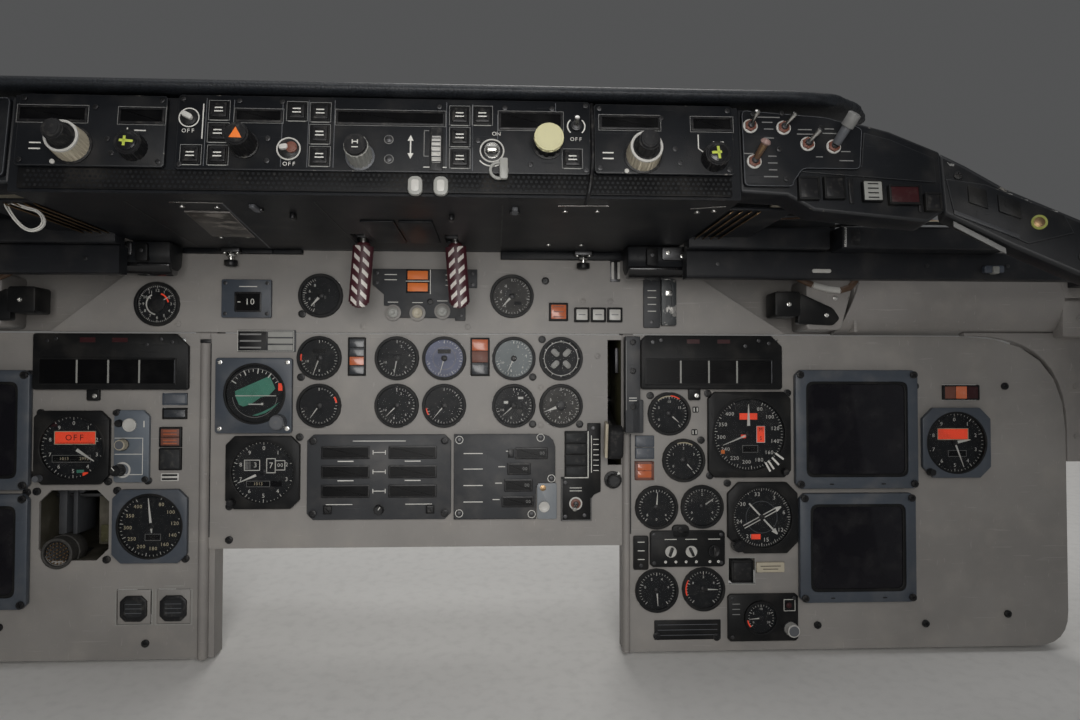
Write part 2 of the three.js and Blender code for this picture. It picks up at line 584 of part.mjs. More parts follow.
// Columns: x, y, width, height
const wingLamps = [
  [353.1, -95.2, 18, 20], [374.9, -94.4, 18, 20], [407.2, -97, 17, 18], [434.4, -100, 27, 17],
  [458.6, -105.8, 10, 10],
];
function wingBody(side) {
  const { thick, face, sweep, hinge } = wing;
  const outline = shapeOf(onSide(side, wingOuter));
  const outer = new THREE.ExtrudeGeometry(outline, { depth: thick + 2 * face, bevelEnabled: false })
    .translate(0, 0, -thick).rotateY(-side * sweep).translate(side * hinge, 0, 0);
  return join([
    prism(shapeOf(onSide(side, wingInner)), -thick, face),
    solid(outer),
    ...wingLamps.map(([x, y, width, height]) => tile(side * x, y, width, height, 2 * face, 3)),
  ]);
}

const switchOutline = [
  [298, -94], [338, -94], [349, -78], [398, -78], [402, -42], [372, -33], [298, -28],
];
const switchLevers = [[305.2, -42], [333.5, -43], [307.1, -73.2], [353.3, -57], [375.5, -59]];
const switchPlate = 2.5;
function switchPanel(side) {
  return join([
    prism(shapeOf(onSide(side, switchOutline)), wing.face + seat, switchPlate),
    ...switchLevers.map(([x, y]) => toggle(side * x, y, switchPlate, side * 4, 5)),
  ]);
}

// Rails between the housing and the side ledges, under the wings
function supportBeam(side) {
  return join([
    block(...span(side, housing.half + seat, 790), 56, 86, 70, 90),
    block(...span(side, 454, 625), 84, 103, 76, 120),
    block(...span(side, 766, 790), 56, 86, 20 + seat, 71),
  ]);
}

// Flood lamps under the housing's floor
const lampTop = housing.floor - seat;
const lampSection = [[64, 26], [60, 36], [62, 48], [72, 60], [lampTop, 60], [lampTop, 20]];

for (const [name, side] of [['captain', -1], ['first_officer', 1]]) {
  addNode(`${name}_warning_wing`, wingBody(side), 'shieldBlack', faceFrame);
  addNode(`${name}_light_switch_panel`, switchPanel(side), 'shieldBlack', faceFrame);
  addNode(`${name}_support_beam`, supportBeam(side), 'shieldBlack');
  addNode(`${name}_flood_lamp`, beam(lampSection, span(side, 236, 312)), 'shieldBlack');
}

// Padded cover over the housing: a level slab with a thick front lip, rounded in plan at its ends
const slabSection = [
  [178.4, 284], [178, 298], [186, 300], [190, 294], [207, 190], [238, -2], [222, -60], [212, -60], [225, -6],
  [224.8, 0],
];
function coverPlan() {
  const { half, straight, side, front, rear } = cover;
  const shape = new THREE.Shape();
  shape.moveTo(-half, rear - 1);
  shape.lineTo(half, rear - 1);
  shape.lineTo(half, side);
  shape.quadraticCurveTo(half - 52, front - 10, straight, front);
  shape.lineTo(-straight, front);
  shape.quadraticCurveTo(52 - half, front - 10, -half, side);
  const geometry = new THREE.ExtrudeGeometry(shape, { depth: 120, bevelEnabled: false, curveSegments: 8 });
  return solid(geometry.rotateX(Math.PI / 2).translate(0, 260, 0));
}
const slab = beam(slabSection, [-cover.half - 5, cover.half + 5]);
addNode('glareshield_pad', slab.intersect(coverPlan()), 'padBlack');

// Gear warning box over the starboard seam, and the gear lever
addNode('gear_warning_box', join([
  block(241.2, 258.4, -113.9, -3, seat + 1.6, 18),
  block(250, 262, -113.9, -76, seat + 1.6, 18),
  block(244.6, 258, -113, -4, seat, 3),
]), 'bezelBlack');

const leverSpan = Math.hypot(gear.knobY - gear.pivotY, gear.knobZ - gear.pivotZ);
const leverGroup = new THREE.Group();
leverGroup.position.set(gear.x, gear.pivotY, gear.pivotZ);
leverGroup.rotation.x = Math.atan2(gear.pivotY - gear.knobY, gear.knobZ - gear.pivotZ);
panelFrame.add(leverGroup);
addNode('gear_lever', join([
  rod([206.5 - gear.x, 0, 0], [9, 0, 0], { radius: gear.axle, sides: 16 }),
  rod([-9, 0, 0], [9, 0, 0], { radius: 12, sides: 12 }),
  block(-4, 4, -9, 9, 0, leverSpan),
  block(-9.5, 8.5, -32.5, 32.5, leverSpan - 12, leverSpan + 12),
]), 'bezelBlack', leverGroup);

// Fire shut-off handles: each hangs from a stem in the floor's slot
function handleBody({ topX, bottomX }) {
  const { top, bottom, z, radius, flat, stem } = fireHandle;
  const collar = housing.floor + housing.wall + seat;
  return join([
    rod([topX, top, z], [bottomX, bottom, z], { radius, sides: 14, flat }),
    rod([topX, top - 4, z], [topX, collar + 6, z], { radius: stem }),
    tile(topX, collar + 3, 24, 6, z - 9, z + 9),
  ]);
}
for (const handle of fireHandles) {
  addNode(handle.name, handleBody(handle), 'handleRed');
}

export default group;
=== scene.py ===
# Looks of an airliner flight deck's main instrument panel with its glareshield.
# Pieces are modelled in millimetres, x across, y up the boards and z out of them, and are then
# placed on the sloping panel or on the glareshield's face.
import json
import math
import bpy
import bmesh
from mathutils import Matrix, Vector


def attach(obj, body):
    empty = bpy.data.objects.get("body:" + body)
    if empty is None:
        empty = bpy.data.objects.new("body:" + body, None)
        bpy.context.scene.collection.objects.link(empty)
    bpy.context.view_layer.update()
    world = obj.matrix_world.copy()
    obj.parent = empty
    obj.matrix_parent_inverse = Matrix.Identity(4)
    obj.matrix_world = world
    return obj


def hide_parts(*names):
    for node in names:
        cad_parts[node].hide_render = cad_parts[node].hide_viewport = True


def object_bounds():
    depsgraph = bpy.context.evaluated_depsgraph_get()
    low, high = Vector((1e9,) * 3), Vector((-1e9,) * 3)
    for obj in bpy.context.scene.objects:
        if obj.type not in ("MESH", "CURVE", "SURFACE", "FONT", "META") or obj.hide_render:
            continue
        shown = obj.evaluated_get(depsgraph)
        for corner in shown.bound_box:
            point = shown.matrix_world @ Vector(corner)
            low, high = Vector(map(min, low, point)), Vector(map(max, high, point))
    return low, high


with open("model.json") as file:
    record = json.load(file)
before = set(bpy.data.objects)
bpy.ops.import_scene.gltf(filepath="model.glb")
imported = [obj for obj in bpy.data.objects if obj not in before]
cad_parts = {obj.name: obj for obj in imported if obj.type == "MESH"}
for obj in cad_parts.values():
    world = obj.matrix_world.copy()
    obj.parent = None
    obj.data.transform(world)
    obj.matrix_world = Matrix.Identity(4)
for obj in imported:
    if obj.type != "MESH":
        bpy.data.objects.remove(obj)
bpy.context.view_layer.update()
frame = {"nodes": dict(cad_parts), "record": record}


def moved(x, y, z=0):
    return Matrix.Translation((x, y, z))


def spun(degrees, axis):
    return Matrix.Rotation(math.radians(degrees), 4, axis)


def panelAt(x, y):
    return onPanel @ moved(x, y)


layout = {"tilt": 10, "forward": 0.072, "up": 0.125, "faceTilt": 7.7, "faceUp": 200, "faceOut": 280, "faceRow": -55.2}
onPanel = (moved(0, -layout["forward"], -layout["up"]) @ spun(90 - layout["tilt"], "X") @ Matrix.Scale(0.001, 4))
onFace = (onPanel @ moved(0, layout["faceUp"], layout["faceOut"]) @ spun(-layout["faceTilt"], "X"))


# Camera at the photograph's viewing angle
camera = {"at": (92.02, -56.86, 986.35), "yaw": -3.01318, "pitch": -1.55014, "roll": 0.06182, "lens": 28.33}


def setCamera():
    turn = (spun(camera["roll"], "Z") @ spun(camera["pitch"], "X") @ spun(camera["yaw"], "Y")).to_3x3()
    right, down, ahead = [Vector((row[0], -row[1], -row[2])) for row in turn]
    axes = Matrix((right, -down, -ahead)).transposed().to_4x4()
    data = bpy.data.cameras.new("view")
    data.lens = camera["lens"]
    data.sensor_width = 36
    data.clip_start = 0.02
    view = bpy.data.objects.new("view", data)
    bpy.context.scene.collection.objects.link(view)
    view.matrix_world = (Matrix.Translation(onPanel @ Vector(camera["at"])) @ spun(90 - layout["tilt"], "X") @ axes)
    bpy.context.scene.camera = view


setCamera()
print("camera set")


# Shader nodes written as expressions
class Wire:
    def __init__(self, maker, socket):
        self.maker, self.socket = maker, socket

    def math(self, operation, first, second=0):
        return self.maker.node("ShaderNodeMath", {"operation": operation}, {0: first, 1: second})

    def __add__(self, other):
        return self.math("ADD", self, other)

    def __sub__(self, other):
        return self.math("SUBTRACT", self, other)

    def __rsub__(self, other):
        return self.math("SUBTRACT", other, self)

    def __mul__(self, other):
        return self.math("MULTIPLY", self, other)

    def __gt__(self, other):
        return self.math("GREATER_THAN", self, other)

    def __lt__(self, other):
        return self.math("LESS_THAN", self, other)

    __radd__ = __add__
    __rmul__ = __mul__

    def ramp(self, low, high):
        return self.maker.node("ShaderNodeMapRange", {"interpolation_type": "SMOOTHSTEP"},
            {"Value": self, "From Min": low, "From Max": high})

    def wrapped(self):
        return self.math("FRACT", self)


class Maker:
    def __init__(self):
        self.material = bpy.data.materials.new("finish")
        self.material.use_nodes = True
        self.tree = self.material.node_tree
        self.tree.nodes.clear()
        self.place = self.node("ShaderNodeTexCoord", output="Object")

    def node(self, kind, settings=None, inputs=None, output=0):
        made = self.tree.nodes.new(kind)
        for key, value in (settings or {}).items():
            setattr(made, key, value)
        for key, value in (inputs or {}).items():
            if isinstance(value, Wire):
                self.tree.links.new(value.socket, made.inputs[key])
            else:
                made.inputs[key].default_value = value
        return Wire(self, made.outputs[output])

    def noise(self, scale, detail=3, stretch=None):
        place = self.place
        if stretch:
            place = self.node("ShaderNodeMapping", {}, {"Vector": place, "Scale": stretch})
        return self.node("ShaderNodeTexNoise", {}, {"Vector": place, "Scale": scale, "Detail": detail}, "Fac")

    def cells(self, scale, feature="F1"):
        return self.node("ShaderNodeTexVoronoi", {"feature": feature}, {"Vector": self.place, "Scale": scale},
            "Distance")

    def mix(self, factor, first, second):
        paints = {0: factor, 6: (*first, 1) if isinstance(first, tuple) else first,
            7: (*second, 1) if isinstance(second, tuple) else second}
        return self.node("ShaderNodeMix", {"data_type": "RGBA"}, paints, 2)

    def bump(self, height, depth):
        return self.node("ShaderNodeBump", {}, {"Height": height, "Distance": depth, "Strength": 1})

    def finish(self, color, roughness, **others):
        inputs = {"Base Color": (*color, 1) if isinstance(color, tuple) else color, "Roughness": roughness}
        inputs.update(others)
        surface = self.node("ShaderNodeBsdfPrincipled", {}, inputs)
        output = self.tree.nodes.new("ShaderNodeOutputMaterial")
        self.tree.links.new(surface.socket, output.inputs["Surface"])
        return self.material


def tone(color, factor):
    return tuple(channel * factor for channel in color)


# Paint: blotches, fine grain, dust in patches and thin scratches
def painted(color, roughness, grain=0.00012, dust=0.12, scratch=0.25, shine=0.5):
    make = Maker()
    cloud = make.noise(9, 5)
    fine = make.noise(1100, 2)
    streak = make.noise(60, 2, (0.35, 6, 6)).ramp(0.68, 0.72) + make.noise(60, 2, (6, 6, 0.35)).ramp(0.69, 0.73)
    speck = make.cells(230).ramp(0.11, 0.04) * make.noise(25, 2).ramp(0.5, 0.62)
    tinted = make.mix(cloud.ramp(0.3, 0.7), tone(color, 0.88), tone(color, 1.1))
    dusty = make.mix(make.noise(33, 6).ramp(0.45, 0.8) * dust, tinted, (0.42, 0.38, 0.33))
    marked = make.mix(streak * scratch, dusty, tone(color, 1.7))
    spotted = make.mix(speck * scratch, marked, tone(color, 0.35))
    rough = cloud * 0.12 + fine * 0.1 + (roughness - 0.1)
    return make.finish(spotted, rough, Normal=make.bump(fine + streak * -0.6, grain), **{"Specular IOR Level": shine})


# Paint rubbed through to bare metal, for edges
def rubbed(paint, bare, amount, roughness=0.5):
    make = Maker()
    mask = (make.noise(55, 6) + make.noise(420, 3) * 0.35).ramp(0.86 - amount, 0.98 - amount)
    color = make.mix(mask, paint, bare)
    return make.finish(color, roughness - mask * 0.15, Metallic=mask * 0.6,
        Normal=make.bump(make.noise(900, 2) - mask * 0.8, 0.00015))


def molded(color, roughness, dust=0.1, glow=None, coat=0, shine=0.4):
    make = Maker()
    fine = make.noise(1500, 2)
    grime = make.noise(70, 5).ramp(0.42, 0.75)
    shade = make.mix(grime * (dust + 0.15), color, tone(color, 0.6))
    powder = make.mix(make.noise(200, 4).ramp(0.5, 0.8) * dust, shade, (0.4, 0.37, 0.32))
    extra = {"Emission Color": (*glow, 1), "Emission Strength": 0.25} if glow else {}
    extra["Specular IOR Level"] = shine
    if coat:
        extra["Coat Weight"] = coat
    return make.finish(powder, fine * 0.12 + grime * 0.1 + (roughness - 0.08), Normal=make.bump(fine, 0.00008),
        **extra)


def metallic(color, roughness, brushed=0.5, tarnish=0.3):
    make = Maker()
    lines = make.noise(260, 2, (0.15, 4, 4))
    patch = make.noise(45, 5).ramp(0.4, 0.75)
    shade = make.mix(patch * tarnish, color, tone(color, 0.45))
    rough = lines * (0.3 * brushed) + patch * 0.15 + (roughness - 0.1)
    return make.finish(shade, rough, Metallic=1, Normal=make.bump(lines, 0.00006 * brushed))


def glassy(color, roughness, alpha, coat=0, film=0.25):
    make = Maker()
    smear = make.noise(40, 5).ramp(0.45, 0.75)
    specks = make.cells(300).ramp(0.08, 0.03) * film
    shade = make.mix(smear * film + specks, color, (0.3, 0.29, 0.27))
    extra = {"Specular IOR Level": 0.15 if alpha == 1 else 0.1}
    if coat:
        extra["Coat Weight"] = coat
    return make.finish(shade, smear * 0.1 + roughness, Alpha=smear * (0.08 if alpha < 1 else 0) + alpha,
        Normal=make.bump(make.noise(900, 2), 0.00002), **extra)


# Grained cover: shallow pebbles with creases between, the pebble tops painted lighter and the gaps between them darker
# as painted light and shade on the relief
def grained(color):
    make = Maker()
    pebble = make.cells(620, "SMOOTH_F1")
    crease = make.noise(30, 5)
    # painted light and shade: raised pebble middles lighter, the low gaps between pebbles darker
    shade = make.mix(pebble.ramp(0.2, 0.75), tone(color, 1.35), tone(color, 0.6))
    dusty = make.mix(crease.ramp(0.5, 0.8) * 0.25, shade, (0.075, 0.078, 0.084))
    return make.finish(dusty, pebble * 0.2 + 0.42, Normal=make.bump(pebble * -1 + crease * 0.7, 0.00035),
        **{"Specular IOR Level": 0.4})


# Two columns of slanting stripes along a handle; u runs across and v along it, from its own map
def striped(ground, stripe):
    make = Maker()
    spot = make.node("ShaderNodeUVMap", {"uv_map": "stripes"})
    split = make.node("ShaderNodeSeparateXYZ", {}, {"Vector": spot})
    across, along = split, Wire(make, split.socket.node.outputs[1])
    columns = (across > 0.14) * (across < 0.43) + (across > 0.57) * (across < 0.86)
    slant = (along * 5.2 - across * 1.7 + (across > 0.5) * 0.35).wrapped()
    mask = columns * (slant < 0.42) * (1 - make.noise(420, 4).ramp(0.62, 0.75) * 0.8)
    dirt = make.noise(60, 5).ramp(0.4, 0.8)
    color = make.mix(mask, make.mix(dirt * 0.4, ground, tone(ground, 0.4)),
        make.mix(dirt * 0.3, stripe, (0.3, 0.27, 0.24)))
    return make.finish(color, dirt * 0.2 + 0.4, Normal=make.bump(mask * 0.6 + make.noise(1200, 2) * 0.5, 0.00012))


finishes = {"boardPaint": painted((0.245, 0.232, 0.218), 0.5, dust=0.2, scratch=0.22),
    "ledgePaint": painted((0.25, 0.235, 0.222), 0.58, dust=0.25, scratch=0.3, grain=0.0003),
    "bluePaint": painted((0.056, 0.067, 0.084), 0.42, scratch=0.15, shine=0.35),
    "blackPaint": painted((0.0068, 0.0071, 0.0076), 0.44, dust=0.04, scratch=0.06, shine=0.18),
    "shieldPaint": painted((0.0085, 0.0095, 0.0115), 0.42, dust=0.04, scratch=0.1, shine=0.18),
    "greyPaint": painted((0.044, 0.046, 0.05), 0.45, dust=0.1, scratch=0.12, shine=0.25),
    "meshPaint": painted((0.0062, 0.0062, 0.0066), 0.45, dust=0.05, scratch=0.1, shine=0.15),
    "scuffedPaint": rubbed((0.2, 0.18, 0.16), (0.07, 0.062, 0.055), 0.3),
    "selectorPaint": painted((0.11, 0.13, 0.155), 0.42, dust=0.2, scratch=0.2, shine=0.35),
    "palePaint": painted((0.2, 0.22, 0.24), 0.45, dust=0.15, scratch=0.15),
    "undersidePaint": painted((0.0135, 0.0145, 0.0172), 0.44, dust=0.05, shine=0.22),
    "trayPaint": painted((0.055, 0.05, 0.036), 0.5, dust=0.25, scratch=0.2, shine=0.3),
    "wornBlack": rubbed((0.0105, 0.0115, 0.0135), (0.3, 0.28, 0.25), 0.07),
    "wornSlider": rubbed((0.03, 0.034, 0.036), (0.35, 0.34, 0.32), 0.16, 0.45),
    "wornLedge": rubbed((0.25, 0.235, 0.222), (0.12, 0.11, 0.1), 0.1),
    "leather": grained((0.0092, 0.0114, 0.015)), "caseMetal": metallic((0.42, 0.43, 0.43), 0.42, tarnish=0.45),
    "darkMetal": metallic((0.07, 0.07, 0.072), 0.42, tarnish=0.5),
    "steel": metallic((0.62, 0.61, 0.58), 0.3, brushed=0.3),
    "bronze": metallic((0.3, 0.2, 0.11), 0.4, tarnish=0.6),
    "blackPlastic": molded((0.009, 0.009, 0.01), 0.38, shine=0.3),
    "shinyBlack": molded((0.008, 0.008, 0.009), 0.2, dust=0.04, coat=0.35),
    "rubber": molded((0.013, 0.013, 0.014), 0.65, shine=0.25), "greyPlastic": molded((0.1, 0.105, 0.115), 0.42),
    "cream": molded((0.47, 0.42, 0.32), 0.38, dust=0.25),
    "paleYellow": molded((0.58, 0.55, 0.33), 0.4, dust=0.12),
    "dullCell": molded((0.02, 0.021, 0.0225), 0.5, shine=0.2),
    "slateLens": molded((0.085, 0.094, 0.11), 0.4, dust=0.3),
    "white": molded((0.52, 0.51, 0.48), 0.35, dust=0.12),
    "whiteMark": molded((0.66, 0.65, 0.61), 0.5, dust=0.05), "greyMark": molded((0.2, 0.2, 0.195), 0.5),
    "creamMark": molded((0.55, 0.49, 0.34), 0.5, dust=0.05),
    "yellowGreen": molded((0.52, 0.6, 0.09), 0.4, dust=0.08),
    "orange": molded((0.85, 0.2, 0.03), 0.45, dust=0.05),
    # red flags and red dial bands also get a faint emission glow: painted light, as they are no lamps
    "flagRed": molded((0.88, 0.075, 0.03), 0.45, dust=0.04, glow=(0.9, 0.06, 0.02)),
    "darkRed": molded((0.036, 0.008, 0.0095), 0.38, dust=0.04, shine=0.25),
    "rust": molded((0.16, 0.055, 0.035), 0.45),
    "amberLens": molded((0.3, 0.085, 0.035), 0.25, glow=(0.5, 0.1, 0.03), coat=0.4),
    "blueLens": molded((0.06, 0.072, 0.095), 0.3, coat=0.3),
    "greyLens": molded((0.032, 0.036, 0.042), 0.3, coat=0.3),
    "horizonGreen": molded((0.06, 0.25, 0.175), 0.4, dust=0.06),
    "dialBlack": molded((0.0075, 0.0085, 0.01), 0.5, dust=0.05, shine=0.2),
    "dialGrey": molded((0.045, 0.043, 0.04), 0.5, shine=0.25),
    "dialBlue": molded((0.1, 0.115, 0.2), 0.4, dust=0.05),
    "dialPale": molded((0.12, 0.145, 0.15), 0.4, dust=0.05),
    "slotLining": molded((0.07, 0.066, 0.03), 0.5, dust=0.3),
    "paleGrey": molded((0.3, 0.3, 0.28), 0.35, dust=0.15),
    "palePink": molded((0.33, 0.22, 0.2), 0.35, dust=0.15),
    "dullYellow": molded((0.27, 0.29, 0.06), 0.4, dust=0.25), "brownTube": molded((0.09, 0.05, 0.028), 0.5),
    "handleStripes": striped((0.065, 0.015, 0.022), (0.74, 0.7, 0.65)),
    "handleRed": molded((0.07, 0.015, 0.02), 0.4), "glass": glassy((0.015, 0.017, 0.02), 0.04, 0.06),
    "screen": glassy((0.006, 0.0055, 0.008), 0.2, 1, coat=0.2, film=0.03),
    "window": glassy((0.002, 0.002, 0.0024), 0.3, 1, film=0.008)}
for look, material in finishes.items():
    material.name = look
print("finishes made", len(finishes))

# Material of each CAD node that stays, and the ground look of each slot
slotFinish = {"board_grey": "boardPaint", "ledge_grey": "ledgePaint", "bezel_blue": "bluePaint",
    "bezel_black": "blackPaint", "plate_grey": "greyPaint", "case_metal": "caseMetal",
    "shield_black": "shieldPaint", "pad_black": "leather", "handle_red": "handleRed"}
slotOf = {row["node"]: row["material_slot"] for row in frame["record"]["subparts"]}
for name, node in frame["nodes"].items():
    node.data.materials.clear()
    node.data.materials.append(finishes[slotFinish[slotOf[name]]])


# Modelling helpers
def deselect():
    bpy.ops.object.select_all(action="DESELECT")


def drop(item):
    bpy.data.objects.remove(item, do_unlink=True)


def activate(*objects):
    deselect()
    for item in objects:
        item.select_set(True)
    bpy.context.view_layer.objects.active = objects[0]
    return objects[0]


def paint(item, look):
    item.data.materials.clear()
    item.data.materials.append(finishes[look])
    return item


def choose(item, kind, test):
    # opens edit mode with the faces or edges that pass the test selected
    activate(item)
    bpy.ops.object.mode_set(mode="EDIT")
    bpy.ops.mesh.select_mode(type=kind)
    bpy.ops.mesh.select_all(action="DESELECT")
    mesh = bmesh.from_edit_mesh(item.data)
    for part in (mesh.faces if kind == "FACE" else mesh.edges):
        part.select_set(test(part))
    mesh.select_flush_mode()
    bmesh.update_edit_mesh(item.data)


def leave():
    bpy.ops.object.mode_set(mode="OBJECT")


def frontMost(item):
    top = max(vertex.co.z for vertex in item.data.vertices)
    return lambda face: face.normal.z > 0.9 and face.calc_center_median().z > top - 0.001


def standing(edge):
    first, second = edge.verts
    return abs(first.co.x - second.co.x) < 1e-4 and abs(first.co.y - second.co.y) < 1e-4


def apply(item, kind, **settings):
    activate(item)
    modifier = item.modifiers.new(kind.lower(), kind)
    for key, value in settings.items():
        setattr(modifier, key, value)
    bpy.ops.object.modifier_apply(modifier=modifier.name)
    return item


def smooth(item, angle=35):
    activate(item)
    bpy.ops.object.shade_smooth_by_angle(angle=math.radians(angle))
    return item


def soften(item, width=0.4, segments=2, angle=35, worn=None):
    settings = {"width": width, "segments": segments, "limit_method": "ANGLE", "angle_limit": math.radians(angle)}
    if worn:
        item.data.materials.append(finishes[worn])
        settings["material"] = len(item.data.materials) - 1
    apply(item, "BEVEL", **settings)
    return smooth(item, angle)


def block(look, width, height, back, front, x=0, y=0, corner=0, steps=4, edge=0.4):
    deselect()
    bpy.ops.mesh.primitive_cube_add(size=1, location=(x, y, (back + front) / 2), scale=(width, height, front - back))
    item = bpy.context.active_object
    bpy.ops.object.transform_apply(location=True, rotation=True, scale=True)
    if corner:
        choose(item, "EDGE", standing)
        bpy.ops.mesh.bevel(offset=corner, segments=steps, affect="EDGES")
        leave()
    paint(item, look)
    return soften(item, edge) if edge else item


def sunk(item, margin, depth, look=None):
    # presses the front face in, inside a rim
    choose(item, "FACE", frontMost(item))
    bpy.ops.mesh.inset(thickness=margin)
    bpy.ops.mesh.extrude_region_move(TRANSFORM_OT_translate={"value": (0, 0, -depth)})
    if look:
        item.data.materials.append(finishes[look])
        item.active_material_index = len(item.data.materials) - 1
        bpy.ops.object.material_slot_assign()
    leave()
    return smooth(item)


def plate(look, points, back, front, edge=0.5, worn=None, steps=2):
    # a flat piece of any outline: a ring of points filled, then pulled out
    deselect()
    bpy.ops.mesh.primitive_circle_add(vertices=len(points), radius=1, fill_type="NGON", location=(0, 0, 0))
    item = bpy.context.active_object
    for vertex, (x, y) in zip(item.data.vertices, points):
        vertex.co = (x, y, back)
    bpy.ops.object.mode_set(mode="EDIT")
    bpy.ops.mesh.select_all(action="SELECT")
    bpy.ops.mesh.extrude_region_move(TRANSFORM_OT_translate={"value": (0, 0, front - back)})
    bpy.ops.mesh.select_all(action="SELECT")
    bpy.ops.mesh.normals_make_consistent(inside=False)
    leave()
    paint(item, look)
    return soften(item, edge, steps, worn=worn) if edge else item


def turned(look, radius, back, front, steps=(), sides=32, edge=0.35, top=None):
    # a round piece; each step insets the front face and moves it out or in
    deselect()
    bpy.ops.mesh.primitive_cylinder_add(vertices=sides, radius=radius, depth=front - back,
        location=(0, 0, (back + front) / 2))
    item = bpy.context.active_object
    bpy.ops.object.transform_apply(location=True, rotation=True, scale=True)
    paint(item, look)
    if top or steps:
        choose(item, "FACE", frontMost(item))
        if top:
            bpy.ops.transform.resize(value=(top / radius, top / radius, 1))
        for margin, rise in steps:
            if margin:
                bpy.ops.mesh.inset(thickness=margin)
            if rise:
                bpy.ops.mesh.extrude_region_move(TRANSFORM_OT_translate={"value": (0, 0, rise)})
        leave()
    return soften(item, edge) if edge else smooth(item)


def carve(item, cutters):
    tool = join(cutters)
    apply(item, "BOOLEAN", operation="DIFFERENCE", object=tool, solver="EXACT")
    drop(tool)
    return smooth(item)


def join(parts):
    activate(*parts)
    if len(parts) > 1:
        bpy.ops.object.join()
    return bpy.context.active_object


def put(part, x=0, y=0, z=0, turn=0, size=1, look=None):
    copy = bpy.data.objects.new(part.name, part.data.copy())
    bpy.context.scene.collection.objects.link(copy)
    scale = size if isinstance(size, tuple) else (size, size, size)
    copy.data.transform(moved(x, y, z) @ spun(turn, "Z") @ Matrix.Diagonal((*scale, 1)))
    return paint(copy, look) if look else copy


def shift(part, x=0, y=0, z=0):
    part.data.transform(moved(x, y, z))
    return part


def leaned(part, degrees, axis):
    part.data.transform(spun(degrees, axis))
    return part


def settle(name, parts, place, nodes=(), body="panel"):
    piece = join(parts)
    piece.name = piece.data.name = name
    piece.data.transform(place)
    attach(piece, body)
    if nodes:
        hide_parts(*nodes)
    return piece


def cutRectangle(width, height, corners):
    sizes = corners if isinstance(corners, (list, tuple)) else [corners] * 4
    topLeft, topRight, lowRight, lowLeft = [max(size, 0.01) for size in sizes]
    left, right, low, high = -width / 2, width / 2, -height / 2, height / 2
    return [(left + lowLeft, low), (right - lowRight, low), (right, low + lowRight), (right, high - topRight),
        (right - topRight, high), (left + topLeft, high), (left, high - topLeft), (left, low + lowLeft)]


def rectangle(width, height):
    left, right, low, high = -width / 2, width / 2, -height / 2, height / 2
    return [(left, low), (right, low), (right, high), (left, high)]


def rounded(points, radii, steps=4):
    # points with a rounding radius each, as short arcs
    arcs = []
    for index, (x, y) in enumerate(points):
        radius = radii[index] if isinstance(radii, (list, tuple)) else radii
        if not radius:
            arcs.append((x, y))
            continue
        here = Vector((x, y))
        before = (Vector(points[index - 1]) - here).normalized() * radius
        after = (Vector(points[(index + 1) % len(points)]) - here).normalized() * radius
        for step in range(steps + 1):
            t = step / steps
            spot = (1 - t) ** 2 * (here + before) + 2 * t * (1 - t) * here + t ** 2 * (here + after)
            arcs.append((spot.x, spot.y))
    return arcs


# Small parts that are modelled once and copied
marks = {"thick": 0.16}
tick = block("whiteMark", 1, 1, 0, marks["thick"], edge=0)
shapes = {}


def glyph(letter):
    if letter not in shapes:
        deselect()
        bpy.ops.object.text_add(location=(0, 0, 0))
        item = bpy.context.active_object
        item.data.body = letter
        item.data.resolution_u = 2
        item.data.extrude = marks["thick"] / 2
        item.data.align_x = "CENTER"
        item.data.align_y = "CENTER"
        bpy.ops.object.convert(target="MESH")
        shapes[letter] = bpy.context.active_object
    return shapes[letter]


def number(text, x, y, z, size, look="whiteMark"):
    pitch = size * (0.58 if text.isdigit() else 0.74)
    start = x - (len(text) - 1) * pitch / 2
    return [put(glyph(letter), start + index * pitch, y, z, size=(size, size, 1), look=look)
        for index, letter in enumerate(text)]


def line(x, y, width, height, z, look="whiteMark", turn=0):
    return put(tick, x, y, z, turn, (width, height, 1), look)


def bars(x, rows, width, height, z, look="whiteMark"):
    return [line(x, y, width, height, z, look) for y in rows]


def spread(part, z, spots):
    return [put(part, x, y, z) for x, y in spots]


def path(points, width, z, look="whiteMark", closed=False):
    # a thin line through points
    parts = []
    ends = points[1:] + points[:1] if closed else points[1:]
    for (x0, y0), (x1, y1) in zip(points, ends):
        turn = math.degrees(math.atan2(y1 - y0, x1 - x0))
        parts.append(line((x0 + x1) / 2, (y0 + y1) / 2, math.hypot(x1 - x0, y1 - y0) + width * 0.6, width, z, look,
            turn))
    return parts


def boxLines(x, y, width, height, z, thick=0.8, look="whiteMark"):
    return [line(x, y + side * height / 2, width + thick, thick, z, look) for side in (-1, 1)] + \
        [line(x + side * width / 2, y, thick, height, z, look) for side in (-1, 1)]


def cord(look, points, radius):
    # a round wire through points
    deselect()
    bpy.ops.curve.primitive_nurbs_path_add(location=(0, 0, 0))
    item = bpy.context.active_object
    curve = item.data.splines[0]
    curve.points.add(len(points) - len(curve.points))
    for knot, place in zip(curve.points, points):
        knot.co = (*place, 1)
    curve.order_u, curve.resolution_u = 4, 3
    item.data.bevel_depth, item.data.bevel_resolution, item.data.use_fill_caps = radius, 1, True
    bpy.ops.object.convert(target="MESH")
    item = bpy.context.active_object
    bpy.ops.object.mode_set(mode="EDIT")
    bpy.ops.mesh.select_all(action="SELECT")
    bpy.ops.mesh.remove_doubles(threshold=0.01)
    bpy.ops.mesh.normals_make_consistent(inside=False)
    leave()
    return smooth(paint(item, look), 60)


def makeNeedle():
    item = block("whiteMark", 1, 1, 0, 0.5, y=0.5, edge=0)
    choose(item, "FACE", lambda face: face.normal.y > 0.9)
    bpy.ops.transform.resize(value=(0.25, 1, 1))
    leave()
    return item


needle = makeNeedle()


